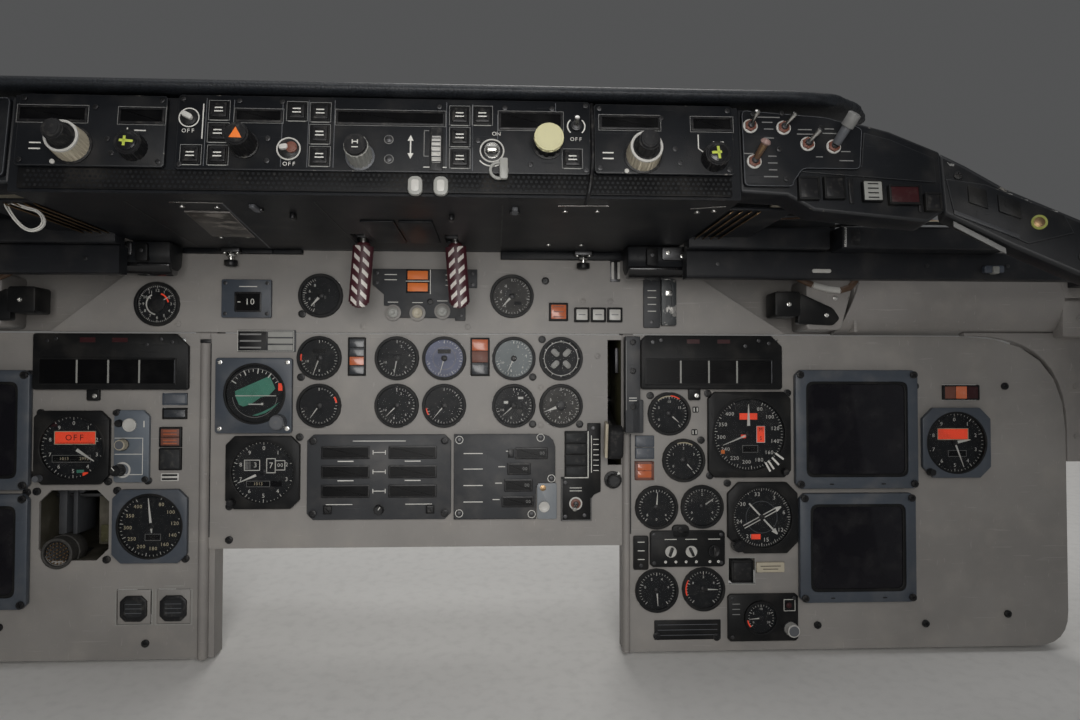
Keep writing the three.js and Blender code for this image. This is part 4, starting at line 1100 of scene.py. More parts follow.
# Mode annunciators: a long dark window with a pale bar between its cells
annunciators = [
    {"name": "captain_mode_annunciator", "at": (-339.9, -33.2), "size": (171, 63.5),
        "bars": (-36.8, -2.4, 31.7), "corner": [2, 14, 2, 2],
        "strips": ((-25.5, 24.3, 17, 5.5, "darkRed"), (10, 24.3, 17, 5, "darkRed"))},
    {"name": "first_officer_mode_annunciator", "at": (344.5, -32.6), "size": (166.8, 62.9),
        "bars": (-36.9, -3.7, 29.5), "corner": [6, 13, 2, 2],
        "strips": ((-22, 24.3, 15, 5, "darkRed"), (14, 24.3, 15, 4.6, "darkRed"))}]
for unit in annunciators:
    width, height = unit["size"]
    parts = [plate("blackPaint", cutRectangle(width, height, unit["corner"]), 0.3, 7, edge=1)]
    parts.append(sunk(block("blackPaint", 152, 31, 2, 8.2, -3, -11.2, 2, 3, 0.4), 1.6, 1, "window"))
    parts += [line(x, -11.2, 1.9, 26, 7.3, "paleGrey") for x in unit["bars"]] + [line(70.6, -11.2, 0.8, 26, 7.3,
        "greyPlastic")]
    parts += [line(x, y, wide, tall, 7.05, look) for x, y, wide, tall, look in unit["strips"]]
    tab = block("blackPaint", 14, 15, 0.3, 5, -20, -36.6, 2, 3, 0.5)
    parts += [tab, put(steelScrew, -17.6, -38.8, 5)]
    parts += spread(smallScrew, 7, ((-69.5, 23.4), (-59.8, 25.7), (39.5, 19.1), (55.3, 25.4), (67.5, 22.3)))
    parts += caseParts(160, 54, 90, 3)
    settle(unit["name"] + "_unit", parts, panelAt(*unit["at"]), [unit["name"]])

# Captain's selector panel
parts = [plate("selectorPaint", cutRectangle(38.7, 81.2, [7, 7, 2, 2]), 0.3, 6, edge=0.9)]
parts += [shift(turned("white", 7.5, 0, 3.4, [(1.6, -0.8)], 32, 0.5), -1.5, 24, 6),
    smallKnob("blackPlastic", 4, 6, -13.1, 25.9, 6, 10), line(13.7, 25, 1.2, 7, 6.05)]
parts += path([(-18, 9.2), (12.6, 9.2), (12.6, -31.7), (-18, -31.7)], 0.7, 6.05) + [line(-2.7, -8.8, 30.6, 0.7, 6.05)]
parts += [smallKnob("cream", 6.4, 10, -9, 2, 6, 10, cap="greyPlastic"),
    smallKnob("blackPlastic", 6.5, 13, -12.2, -26.5, 6, 10, pointer=-40),
    ovalRing("white", -9.2, -26.5, 5.9, 8.9, 6.8, 0.8), put(blackScrew, -16.8, 37.6, 6, size=0.8),
    put(blackScrew, 15.6, -37, 6, size=0.8)]
settle("captain_selector_unit", parts + caseParts(32, 74, 70), panelAt(-316.3, -128.5), ["captain_selector_panel"])

# Hydraulic control plate with its hump and the block beside it
parts = [plate("blackPaint", cutRectangle(87.8, 41.7, 3), 0.3, 5, edge=0.8),
    block("blackPaint", 20, 15, 0.3, 5, -8, 20, 5, 4, 0.6),
    block("blackPaint", 17.6, 39, 0.3, 4, -54.4, -4.5, 2, 3, 0.6)]
for x, turn, look in ((-20, -20, "white"), (4, 25, "white"), (31, 0, "blackPlastic")):
    parts += [shift(turned(look, 6.6, 4.8, 7.2, [(1.2, -0.5)], 32, 0.4), x, -3),
        shift(leaned(block("blackPlastic", 3, 10.6, 6.4, 10.4, corner=1.2), turn, "Z"), x, -3)]
parts += [ovalRing("whiteMark", x, -15, 4.95, 1.6, 0.4, 0.3) for x in (-26, -14, -2, 10, 26, 36)]
parts += [line(x, 11, 14, 0.8, 5.05) for x in (-20, 4, 31)]
parts += bars(-54.4, (8, -2, -12), 8, 0.9, 4.05)
parts += corners(87.8, 41.7, 4.6, smallScrew, 5) + [put(blackScrew, -8, 22, 5, size=0.8),
    put(smallScrew, -54.4, -19, 4)]
settle("hydraulic_control_unit", parts + caseParts(80, 34, 60, 2), panelAt(315.6, -249), ["hydraulic_control_panel"])

# Oxygen plate: a small gauge, a striped knob and a dark red lamp
parts = [plate("blackPaint", cutRectangle(83, 54.5, 3), 0.3, 5, edge=0.8)]
oxygenFace = {"scales": [(19.4, -130, 130, 20, 5, 3.6)],
    "figures": [(13, -120, 120, "0 5 10 15 20".split(), 4.4)], "bands": [(20.2, -130, -100, 2, "flagRed")],
    "hands": [(-95, 18, 1.8)]}
small = gaugeParts(oxygenFace)
small.data.transform(Matrix.Diagonal((0.79, 0.79, 1, 1)))
parts += [shift(small, -3, 0, 5.2)]
parts += [smallKnob("white", 8, 12, 32, -13, 5, 9, cap="greyPlastic"),
    shift(turned("darkRed", 3.2, 4.4, 7, [(0.9, 0.5)], 20, 0.6), 30, 14)]
parts += bars(-32, (16, 10, 4), 9, 0.9, 5.05, "greyMark") + boxLines(31, 14, 13, 13, 5.05, 0.6)
parts += corners(83, 54.5, 5, smallScrew, 5) + caseParts(76, 46, 70, 2)
settle("oxygen_unit", parts, panelAt(404.2, -329.4), ["oxygen_panel"])

# Air temperature indicator
parts = [plate("bluePaint", cutRectangle(55.7, 43.6, 1), 0.3, 6, edge=0.9), readout(2, -4, 27, 20, 6)]
parts += number("10", 4, -4, 6.3, 10, "whiteMark") + [line(-8, -4, 3.4, 1, 6.35)]
parts += [line(2, 13.6, 20, 1, 6.05)] + corners(55.7, 43.6, 4.4, smallScrew, 6) + caseParts(46, 36, 120)
settle("air_temperature_unit", parts, panelAt(-190.9, 38.9), ["air_temperature_indicator"])

# Instrument source selector: a dark plate and a metal slider rubbed bright
parts = [plate("greyPaint", cutRectangle(20, 63, 1), 0.3, 3, edge=0.6)]
shift(parts[0], -9.6, 0)
slider = block("wornSlider", 17.6, 58, 0.3, 7, 9.8, 0, 1.5, 3, 1)
slot = [block("darkMetal", 6, 44, 4.5, 9, 9.8, 0, 2.9, 5, edge=0)]
parts += [carve(slider, slot), block("steel", 8, 7, 3.4, 7.6, 9.8, 9, 1.5, 3, 0.8)]
parts += [put(smallScrew, -9.6, y, 3) for y in (-25, 25)] + bars(-9.6, (12, 4, -4, -12), 10, 0.8, 3.05)
settle("instrument_source_unit", parts + caseParts(30, 54, 60), panelAt(284.3, 39.2), ["instrument_source_selector"])

# Fire control plate: its lower edge is scalloped round the three push buttons' discs
fireOutline = [(-58.7, 26.7), (-58.7, 8.2), (-45.7, -2.8), (-45.7, -15.7), (-33.7, -15.7), (-33.7, -29.7),
    (35.7, -29.7), (35.7, -32.7), (47.7, -32.7), (47.7, 5.3), (61.2, 5.3), (61.2, 26.7)]
fireButtons = ((-35.3, -23.8), (-7.3, -24.2), (21.2, -22.1))
parts = [plate("greyPaint", fireOutline, 0.3, 4, edge=0.7)]
for y in (19.2, 5.4):
    parts += lens(-6.9, y, 26.3, 13, 7, "orange", frameWidth=1.2, back=1)
parts += [line(-6.9, 12.2, 27, 0.9, 7.1), line(7.4, 12, 0.9, 28, 4.1)]
for (x, y), look in zip(fireButtons, ("paleGrey", "cream", "paleGrey")):
    disc = turned("boardPaint", 9.2, 0.2, 4.15, sides=36, edge=0.1)
    cap = turned(look, 6.2, 4.1, 6.8, [(1.2, 0.8), (2, -0.5)], 32, 0.6, top=5.8)
    parts += [shift(disc, x, y), shift(cap, x, y), line(x, y + 12, 12, 0.8, 4.05)]
parts += bars(32, (20, 14, 8), 14, 0.9, 4.05) + bars(-38, (20, 14), 14, 0.9, 4.05)
parts += spread(smallScrew, 4, ((-54, 22), (56, 22), (43, -27), (-54, 11), (56, 9)))
parts += [put(blackScrew, 7.4, -11.2, 4, size=0.8)]
settle("fire_control_unit", parts + caseParts(80, 44, 110, 2), panelAt(9.7, 47.7), ["fire_control_panel"])
print("control plates modelled")


# Lights and push buttons
def strap(x0, x1, y0, y1):
    return block("darkMetal", x1 - x0, y1 - y0, -40, -35, (x0 + x1) / 2, (y0 + y1) / 2)


parts = lens(-270.6, -75.5, 27, 13.4, 3, "slateLens", rim="bluePaint") + lens(-270.6, -91.9, 27, 12.4, 3, "greyLens")
parts += lens(-274.7, -118.5, 24.4, 22.6, 4, "rust", rows=2) + lens(-274.7, -143.4, 24.4, 24.6, 4, "dullCell",
    frameWidth=1.2)
parts += [line(-274.7, -118.5 + dy, 15, 0.9, 3.8, "amberLens") for dy in (-7, -3.4, 3.4, 7)]
settle("captain_lights", parts + [strap(-280, -264, -150, -74)], onPanel, ["captain_status_lights"])

parts = []
for x, y in ((-313.2, -309.3), (-269.5, -309.3)):
    parts.append(block("boardPaint", 36, 38, -2, 0.3, x, y, edge=0.15))
    parts += boxLines(x, y - 0.6, 40.4, 38.8, 0.03, 0.9, "paleGrey")
    button = plate("blackPlastic", cutRectangle(29.4, 28.6, 6), -36, 3.4, edge=0.8)
    parts.append(shift(sunk(button, 3.4, 1.2, "dullCell"), x, y - 1.6))
    parts += [line(x, y - 1.6 + dy, 18, 0.7, 2.25, "greyPlastic") for dy in (-5, 0, 5)] + [line(x, y + 23, 22, 1,
        0.03, "paleGrey")]
settle("captain_buttons", parts + [strap(-322, -262, -316, -302)], onPanel, ["captain_push_buttons"])

parts = [piece for y in (-124.5, -138.5)
    for piece in lens(266.1, y, 22, 13, 3, "slateLens", "bluePaint", frameWidth=1)]
parts += lens(265.6, -158.7, 22, 21.6, 4, "amberLens", rim="rust", rows=2, frameWidth=2.6)
settle("first_officer_lights", parts + [strap(260, 272, -162, -122)], onPanel, ["first_officer_status_lights"])

parts = boxLines(380.4, -276.3, 32, 31, 0.03, 1, "paleGrey") + lens(380.4, -276.3, 26, 26, 4, "blackPlastic",
    frameWidth=2.6)
parts += [block("cream", 33, 11.6, -36, 2.5, 414, -272, 1, 2, 0.5)]
parts += [line(414, -270.5, 24, 0.8, 2.55, "blackPlastic"), line(414, -274, 18, 0.8, 2.55, "blackPlastic")]
settle("first_officer_button", parts + [strap(370, 422, -276, -268)], onPanel, ["first_officer_push_button"])

parts = lens(165.5, 25.9, 22, 21, 3, "amberLens", frameWidth=2) + bars(165.5, (20, 25.9, 31.8), 12, 1.1, 2.8, "rust")
for x in (192.5, 211.8, 231.1):
    parts += lens(x, 22.6, 17.6, 17, 5, "white", frameWidth=2) + [line(x, 22.6, 8, 0.9, 4.8, "greyPlastic")]
settle("upper_lights", parts + [strap(160, 236, 18, 27)], onPanel, ["upper_push_lights"])

parts = lens(645.4, -67.6, 44, 17.9, 4, ["rust", "amberLens", "darkRed"], columns=3, frameWidth=1.4)
settle("warning_light", parts + [strap(640, 650, -70, -65)], onPanel, ["first_officer_warning_light"])
print("lights modelled")

# Gear lever side: the long warning box, the dim knob and the lever
parts = [block("greyPaint", 17.2, 110.9, 2, 18, 249.8, -58.5, 1.5, 3, 0.9),
    block("greyPaint", 13, 38, 2, 18, 255.5, -95, 1.5, 3, 0.9),
    block("darkMetal", 13.4, 109, 0.3, 3, 251.3, -58.5)]
parts += [put(blackScrew, 249.8, y, 18, size=0.8) for y in (-10, -43, -84)]
parts += bars(249.8, (-74, -77), 9, 0.9, 18.05) + [line(242.2, -48, 0.7, 80, 18.05, "greyMark")]
settle("gear_warning_unit", parts, onPanel, ["gear_warning_box"])

knob = smallKnob("blackPlastic", 7.5, 10, 228.6, -169, 5, 12)
disk = shift(turned("blackPlastic", 10, 0.3, 5, [(0.8, 0.3)], 36, 0.5), 228.6, -169)
pointer = plate("whiteMark", [(-1.6, -1.2), (2.6, 0.4), (0.6, 3.4)], 4.8, 5.7, edge=0)
parts = [knob, disk, shift(pointer, 234.2, -162.4), shift(turned("steel", 4.8, -22, 0.5, sides=20), 228.6, -169)]
settle("dim_knob", parts, onPanel, ["lever_dim_knob"])

gear = {"x": 227, "pivotY": -79.4, "pivotZ": -120, "knobY": -115, "knobZ": 35}
reach = math.hypot(gear["knobY"] - gear["pivotY"], gear["knobZ"] - gear["pivotZ"])
lean = math.atan2(gear["pivotY"] - gear["knobY"], gear["knobZ"] - gear["pivotZ"])
knobSection = [(-19, -5), (-14, -10), (14, -10), (19, -5), (19, 5), (14, 11), (-14, 11), (-19, 5)]
body = plate("rubber", rounded(knobSection, 3), -8.5, 8.5, edge=3.4, steps=4)
body.data.transform(spun(90, "Y") @ spun(90, "Z"))
shift(body, 0, -8.5, reach)
stripe = shift(block("cream", 3.2, 40, -9, 5, -10.2, -6, 1, 2, 0.8), 0, 0, reach)
cap = leaned(turned("steel", 3, 0, 1.2, [(0.7, 0.3)], 24, 0.3), 90, "Y")
parts = [body, stripe, block("darkMetal", 7, 16, 0, reach - 4, corner=1.5, edge=0.6), shift(cap, 8, -8.5, reach)]
for radius, half, look in ((6, 18, "steel"), (12, 9, "darkMetal")):
    axle = turned(look, radius, -half, half - 2, [(1.2, 0.8)], 32, 0.5)
    parts.append(shift(leaned(axle, 90, "Y"), -1.2 if radius == 6 else 0, 0, 0))
onLever = (onPanel @ moved(gear["x"], gear["pivotY"], gear["pivotZ"]) @ Matrix.Rotation(lean, 4, "X"))
settle("gear_lever_arm", parts, onLever, ["gear_lever"], "gear_lever")
print("gear lever modelled")

# Walls behind the lever's slot
walls = [block("slotLining", 1.4, 151, -100, -3.2, x, -79.2, edge=0.3) for x in (214.2, 240)]
walls += [block("blackPaint", 50, 2, -144, -3.2, 227.4, y, edge=0.3) for y in (-154.8, -3.6)]
walls += [block("blackPaint", 1.4, 151, -144, -98, x, -79.2, edge=0.3) for x in (203, 251.8)]
walls += [block("blackPaint", 12.4, 151, -101, -99.4, x, -79.2, edge=0.3) for x in (208.4, 246.4)]
walls += [block("slotLining", 50, 153, -146, -144, 227.4, -79.2, edge=0.3),
    block("darkMetal", 4, 30, -60, -20, 236.6, -30, edge=0.6),
    block("boardPaint", 8.6, 146, -3, 0.03, 218.6, -79.2, edge=0)]
settle("lever_slot_walls", walls, onPanel)

# Glareshield: navigation selectors and the flight guidance panel, drawn about their own middles
faceRow = layout["faceRow"]
selectors = [
    {"name": "captain_navigation_selector", "x": -232.2,
        "windows": ((-31.2, 13.2, 54.5, 13.7), (38.9, 12.7, 36.5, 13.8)), "tuner": (-14, -13.4),
        "course": (34.2, -14.8)},
    {"name": "first_officer_navigation_selector", "x": 231.9,
        "windows": ((-28.6, 14, 50.6, 12.4), (40.4, 13.8, 34.9, 12.4)), "tuner": (-18.2, -14.6),
        "course": (41.5, -16.8)}]


def plusMark(look, z, side):
    # a plus whose upright stands off its middle
    return [line(0, 0, 10.6, 2.1, z, look, -4 if side < 0 else 96),
        line(-1.6, 0, 8.2, 2.1, z, look, 86 if side < 0 else 6)]


for unit in selectors:
    side = -1 if unit["x"] < 0 else 1
    parts = [plate("shieldPaint", cutRectangle(117, 61, 2), 0.3, 4, edge=0.9, worn="wornBlack")]
    for x, y, width, height in unit["windows"]:
        parts.append(readout(x, y, width - 3, height - 3, 4))
        parts += boxLines(x, y, width + 1.4, height + 1.4, 4.05, 0.45, "greyMark")
    x, y = unit["tuner"]
    base = turned("blackPlastic", 16, 4, 5.4, [(0.8, 0.3)], 48, 0.4)
    outer = shift(flutedKnob("cream", 14.4, 16, 26, 0.35, top=0.93), 0, 0, 5.4)
    rim = ring("white", 13.3, 11.2, 20.6, 23.2)
    face = turned("blackPlastic", 11.4, 20.4, 22.4, sides=40, edge=0)
    inner = shift(flutedKnob("rubber", 9.4, 13.4, 18, 0.3), 0, 0, 22.4)
    cap = turned("rubber", 7.6, 35.6, 37.6, [(1.4, 0.5)], 40, 0.9, top=6.8)
    parts += [shift(piece, x, y) for piece in (base, outer, rim, face, inner, cap)]
    parts += [put(smallScrew, x + dx, y + dy, 4) for dx, dy in ((27, 6), (31, -6), (16, 33))]
    parts += [shift(turned("white", 1.9, 4, 5.6, [(0.5, 0.3)], 20, 0.4), x - 14, y - 14)]
    parts += [line(x - 29, y + dy, 9, 1.1, 4.05) for dy in (2, -3)]
    x, y = unit["course"]
    skirt = shift(flutedKnob("blackPlastic", 11.4, 12, 20, 0.45, top=0.93), 0, 0, 4.4)
    stem = turned("shinyBlack", 7.4, 16, 18.4, [(0.8, 0.3)], 40, 0.5)
    parts += [shift(piece, x, y) for piece in (skirt, stem, join(plusMark("yellowGreen", 18.75, side)))]
    parts += path([(x - 6, y + 17), (x - 6, y + 12.6)] if side < 0 else [(x - 13, y + 21), (x - 13, y + 9),
        (x - 9, y + 6)],
        0.9, 4.05)
    parts += [line(x + 4, y + 15, 9, 1, 4.05)]
    parts += [put(smallScrew, sx * 54, sy * 26, 4) for sx in (-1, 1) for sy in (-1, 1)]
    settle(unit["name"] + "_unit", parts + caseParts(108, 51, 150, 3), onFace @ moved(unit["x"], faceRow, 0),
        [unit["name"]])

guidance = {"windows": ((-103, 14.5, 38.6, 11.5), (3.5, 14.5, 88.8, 12.7), (118.4, 14, 53, 16)),
    "keys": ((-155.5, -19.6), (-134.7, 18.7), (-134.7, -0.4), (-134, -19.6), (-72.4, 19), (-53.5, 18.5),
        (-53.5, -0.5), (-53, -19.5), (59.8, 17.7), (78.4, 18), (60, -0.9), (60.2, -19.5), (152.5, -18.2)),
    "frames": ((-145, -30, 0.5, 60), (-123, -2, 0.5, 30), (-84, -30, 0.5, 60), (-63, -30, 0.5, 60),
        (-42, -30, 0.5, 60), (49, -30, 0.5, 60), (70.5, 8, 0.5, 40), (70.5, -30, 0.5, 40), (91, 8, 0.5, 22),
        (139, -8, 0.5, 38))}
parts = [plate("shieldPaint", cutRectangle(335.6, 64, 2), 0.3, 4, edge=0.9, worn="wornBlack")]
for x, y, width, height in guidance["windows"]:
    parts.append(readout(x, y, width - 3, height - 3, 4))
    parts += boxLines(x, y, width + 1, height + 1, 4.05, 0.4, "greyMark")
for x, y in guidance["keys"]:
    parts += [put(pushKey, x, y, 4, size=(0.94, 0.94, 1)), line(x, y + 1.5, 6.4, 1, 6), line(x, y - 1.5, 7, 1, 6)]
    parts += boxLines(x, y, 16.8, 16.8, 4.05, 0.4, "greyMark") + [line(x, y - 8.7, 14, 0.7, 4.2, "paleGrey")]
parts += [line(x, y + tall / 2 if y < 0 else y, wide, min(tall, 58), 4.02, "greyPlastic")
    for x, y, wide, tall in guidance["frames"]]

# Left to right: director switch, speed knob, throttle switch, heading knob, wheel, autopilot switch,
# altitude knob, director switch
lever = turned("steel", 1.8, 0, 17, [(0, 0)], 16, 0.4, top=2.6)
parts += [ovalRing("whiteMark", -158.5, 12, 4, 8.4, 7.4, 0.4), line(-147.4, 9, 0.9, 30, 4.05),
    shift(turned("blackPlastic", 6.6, 3.9, 5.2, [(1, 0.4)], 36, 0.3), -158.5, 12),
    shift(leaned(block("white", 9.4, 4.4, 5, 9.6, corner=2, edge=0.8), -28, "Z"), -159, 12.4)]
parts += number("OFF", -158.5, 0.6, 4.05, 4.8)
speedKnob = shift(flutedKnob("blackPlastic", 11, 22, 18, 0.4, top=0.88), 0, 0, 4.4)
triangle = plate("orange", [(-5, -4), (5, -4), (0, 5)], 27.6, 28.2, edge=0.15)
parts += [shift(speedKnob, -113.6, -10.8), shift(triangle, -113.6, -10.8)]
parts += [shift(turned("blackPlastic", 11.8, 4, 5.6, [(0.6, 0.3)], 40, 0.4), -113.6, -10.8)]
parts += [ovalRing("white", -78, -13.6, 4, 9.8, 8.6, 1),
    shift(turned("blackPlastic", 8.2, 3.8, 5, [(1.2, 0.5)], 40, 0.4), -78, -13.6),
    shift(turned("rust", 4.6, 5, 7.6, [(1, 0.6)], 32, 0.6), -75.4, -13),
    shift(leaned(block("white", 7, 4.2, 5, 9.4, corner=1.8, edge=0.7), 8, "Z"), -81.4, -13.2)]
parts += number("OFF", -77, -26.4, 4.05, 4.8)
heading = shift(flutedKnob("paleGrey", 10.4, 22, 14, 0.9, top=0.94), 0, 0, 5.2)
headingTop = shift(flutedKnob("blackPlastic", 9.2, 2.6, 9, 0.8, top=0.94), 0, 0, 28.3)
parts += [shift(piece, -20.4, -19.6)
    for piece in (heading, headingTop, turned("greyPlastic", 11.8, 4, 5.4, [(0.8, 0.2)], 40, 0.3))]
parts += [line(-20.4 + dx, -19.6 + dy, wide, tall, 31.5)
    for dx, dy, wide, tall in ((-2, 1.4, 0.8, 3.4), (2, 1.4, 0.8, 3.4), (0, 1.4, 4, 0.8), (0, -3, 5, 0.7))]
parts += [piece for x, y in ((2.3, -4.2), (2.7, -21))
    for piece in (ovalRing("greyMark", x, y, 3.9, 3.9, 3.1, 0.4),
        shift(turned("darkMetal", 3, 4, 5.8, [(0.9, 0.4)], sides=24), x, y))]
parts += [line(20, -10.3, 1.1, 15, 4.05)]
parts += [shift(plate("whiteMark", rotated, 4, 4.3, edge=0), 20, -10.3)
    for rotated in ([(-2.4, 5.4), (2.4, 5.4), (0, 10.2)], [(-2.4, -5.4), (0, -10.2), (2.4, -5.4)])]
wheel = turned("white", 15.6, -3.5, 3.5, [(0.8, 0.3)], 40, 0.3)
choose(wheel, "FACE", lambda face: abs(face.normal.z) < 0.3 and face.calc_area() > 10
    and round(math.degrees(math.atan2(face.normal.y, face.normal.x)) / 9 - 0.5) % 2 == 0)
bpy.ops.mesh.inset(thickness=0.35, use_individual=True)
bpy.ops.transform.shrink_fatten(value=-0.8)
leave()
parts += [shift(leaned(wheel, 90, "Y"), 41, -12, -5.2), block("blackPlastic", 10.6, 37, 3.9, 5, 41, -12, 1, 2, 0.3)]
for angle in range(-60, 70, 15):
    # dark grey lines across the wheel's rim: painted shade standing for the shade in its grooves
    y, z = 15.9 * math.sin(math.radians(angle)), 15.9 * math.cos(math.radians(angle))
    groove = leaned(put(tick, size=(7.4, 0.9, 1), look="greyPaint"), -angle, "X")
    parts.append(shift(groove, 41, -12 + y, -5.2 + z))
parts += path([(34.6, 4), (31, 4), (31, -18), (34.6, -18)], 0.6, 4.05, "greyMark")
parts += [line(34, -27.4, 7, 0.7, 4.05), line(47, -27.4, 5, 0.7, 4.05)]
parts += [ovalRing("white", 86.4, -12.7, 4, 10.2, 9, 1.2), ovalRing("steel", 86.4, -12.7, 4, 6.8, 5.2, 1.8),
    shift(turned("blackPlastic", 8.8, 3.8, 4.8, [(1.2, 0.4)], 40, 0.4), 86.4, -12.7),
    shift(block("steel", 9, 5, 5, 11, corner=2.2, edge=1), 86.4, -12.7)]
parts += number("ON", 90, 2.2, 4.05, 4.8) + [shift(piece, 86.4, -12.7)
    for piece in band(4.05, 13, 130, 230, 1, "whiteMark")]
altitude = shift(flutedKnob("blackPlastic", 11.6, 12, 12, 0.9, top=0.98), 0, 0, 5)
altitudeTop = shift(flutedKnob("paleYellow", 12.2, 3.4, 12, 0.7, top=0.98), 0, 0, 17)
parts += [shift(piece, 132.4, -6.5)
    for piece in (altitude, altitudeTop, turned("blackPlastic", 12.8, 4, 5.2, [(0.8, 0.3)], 44, 0.4))]
for start in (40, 220):
    parts += [shift(piece, 156, 10) for piece in band(4.05, 7.2, start, start + 100, 1, "whiteMark")]
parts += [shift(turned("darkMetal", 4.4, 4, 6.4, [(1, 0.6)], 32, 0.5), 156, 10),
    shift(leaned(put(lever, size=(0.8, 0.8, 0.6)), -14, "X"), 156, 10, 6)] + number("OFF", 156, -1.4, 4.05, 4.6)
drop(lever)
paddle = plate("paleGrey", rounded([(-3.4, -15), (3.4, -15), (3.4, 3), (-3.4, 3)], [2.4, 2.4, 1.5, 1.5]), 4.5,
    9, edge=0.9)
hook = ring("paleGrey", 8, 5.6, 4.4, 7, sides=32)
hook = carve(hook,
    [block("paleGrey", 20, 12, 0, 10, 0, 5.4, edge=0), block("paleGrey", 10, 12, 0, 10, 7.6, -3, edge=0)])
hook = shift(hook, -4, -7)
parts += [shift(paddle, 96, -23), shift(hook, 96, -23)]
parts += [put(smallScrew, x, y, 4) for x in (-164, 164) for y in (-28, 28)]
parts += spread(smallScrew, 4,
    ((-119, 27), (-84.6, 27), (-95, -5), (-95, -24), (43, 25), (97, 25), (136, 25), (118, -24), (75, -4)))
settle("flight_guidance_unit", parts + caseParts(326, 51, 150, 4), onFace @ moved(2.5, faceRow, 0),
    ["flight_guidance_panel"])
print("glareshield panels modelled")

# Warning wings: a flat part in line with the face, then one swept towards the pilots
wing = {"hinge": 468, "sweep": 18, "thick": 30, "face": -2}
wingInner = [(296.3, -98), (336, -100), (358, -113), (455, -122), (470, -112), (470, -60), (427, -42),
    (404, -36), (372, -31), (296.3, -24)]
wingOuter = [(0, -114), (50, -147), (97, -175), (236, -246), (246, -232), (236, -203), (101, -128), (50, -97),
    (20, -73), (0, -59)]
wingLamps = [(353.1, -95.2, 18, 20, "blackPlastic"), (374.9, -94.4, 18, 20, "blackPlastic"),
    (407.2, -97, 17, 18, "paleGrey"), (434.4, -100, 27, 17, "darkRed"), (458.6, -105.8, 14, 16, "blackPlastic")]
switches = [(305.2, -42, 10, 26, "steel"), (333.5, -43, 26, 26, "steel"), (307.1, -73.2, 26, 40, "bronze"),
    (353.3, -57, 26, 26, "steel"), (375.5, -59, 24, 34, "darkMetal")]
switchOutline = [(298, -94), (338, -94), (349, -78), (398, -78), (402, -42), (372, -33), (298, -28)]


def mirrored(side, points):
    return [(side * x, y) for x, y in (points if side > 0 else reversed(points))]


def beam(look, section, x0, x1, edge=0.6):
    # a bar along x whose section is drawn in y and z
    item = plate(look, section, x0, x1, edge)
    item.data.transform(Matrix(((0, 0, 1), (1, 0, 0), (0, 1, 0))).to_4x4())
    return item


def sideSpan(side, a, b):
    return sorted((side * a, side * b))


looms = [
    ("blackPlastic", 1.8, [(300, 118, 98), (340, 114, 100), (380, 120, 102), (420, 116, 103), (452, 118, 102)]),
    ("brownTube", 1.3, [(310, 124, 97), (350, 121, 100), (392, 113, 103), (430, 122, 104), (460, 117, 103)]),
    ("greyPlastic", 1.2, [(330, 112, 97), (372, 117, 101), (408, 124, 102), (440, 114, 103), (470, 120, 101)]),
    ("brownTube", 1.6,
        [(470, 119, 100), (486, 122, 106), (500, 117, 112), (512, 114, 118), (524, 110.5, 121), (540, 113, 119),
            (556, 110.5, 120), (572, 114, 116), (590, 111, 112), (612, 111, 108), (632, 107, 100)]),
    ("creamMark", 1.3,
        [(462, 114, 96), (478, 119, 102), (490, 113, 110), (503, 117, 116), (516, 112, 120), (530, 116, 118),
            (546, 111, 121), (560, 115, 117), (575, 110, 118)]),
    ("rust", 1.4,
        [(484, 112, 100), (500, 121, 106), (515, 118, 112), (528, 113, 117), (545, 117, 114), (560, 112, 119),
            (580, 117, 112), (600, 113, 110), (622, 110, 106), (634, 104, 98)]),
    ("blackPlastic", 1.8,
        [(452, 112, 92), (468, 113, 104), (488, 110, 114), (508, 111, 121), (530, 110, 122), (556, 112, 121),
            (584, 110, 118), (610, 110, 112), (630, 108, 104)])]
coil = [(-21, 17), (-14, 16), (1, 9), (14, 8), (21, -4), (14, -12), (4, -14), (-6, -6), (-14, 5), (-20, 15),
    (-15, 18)]
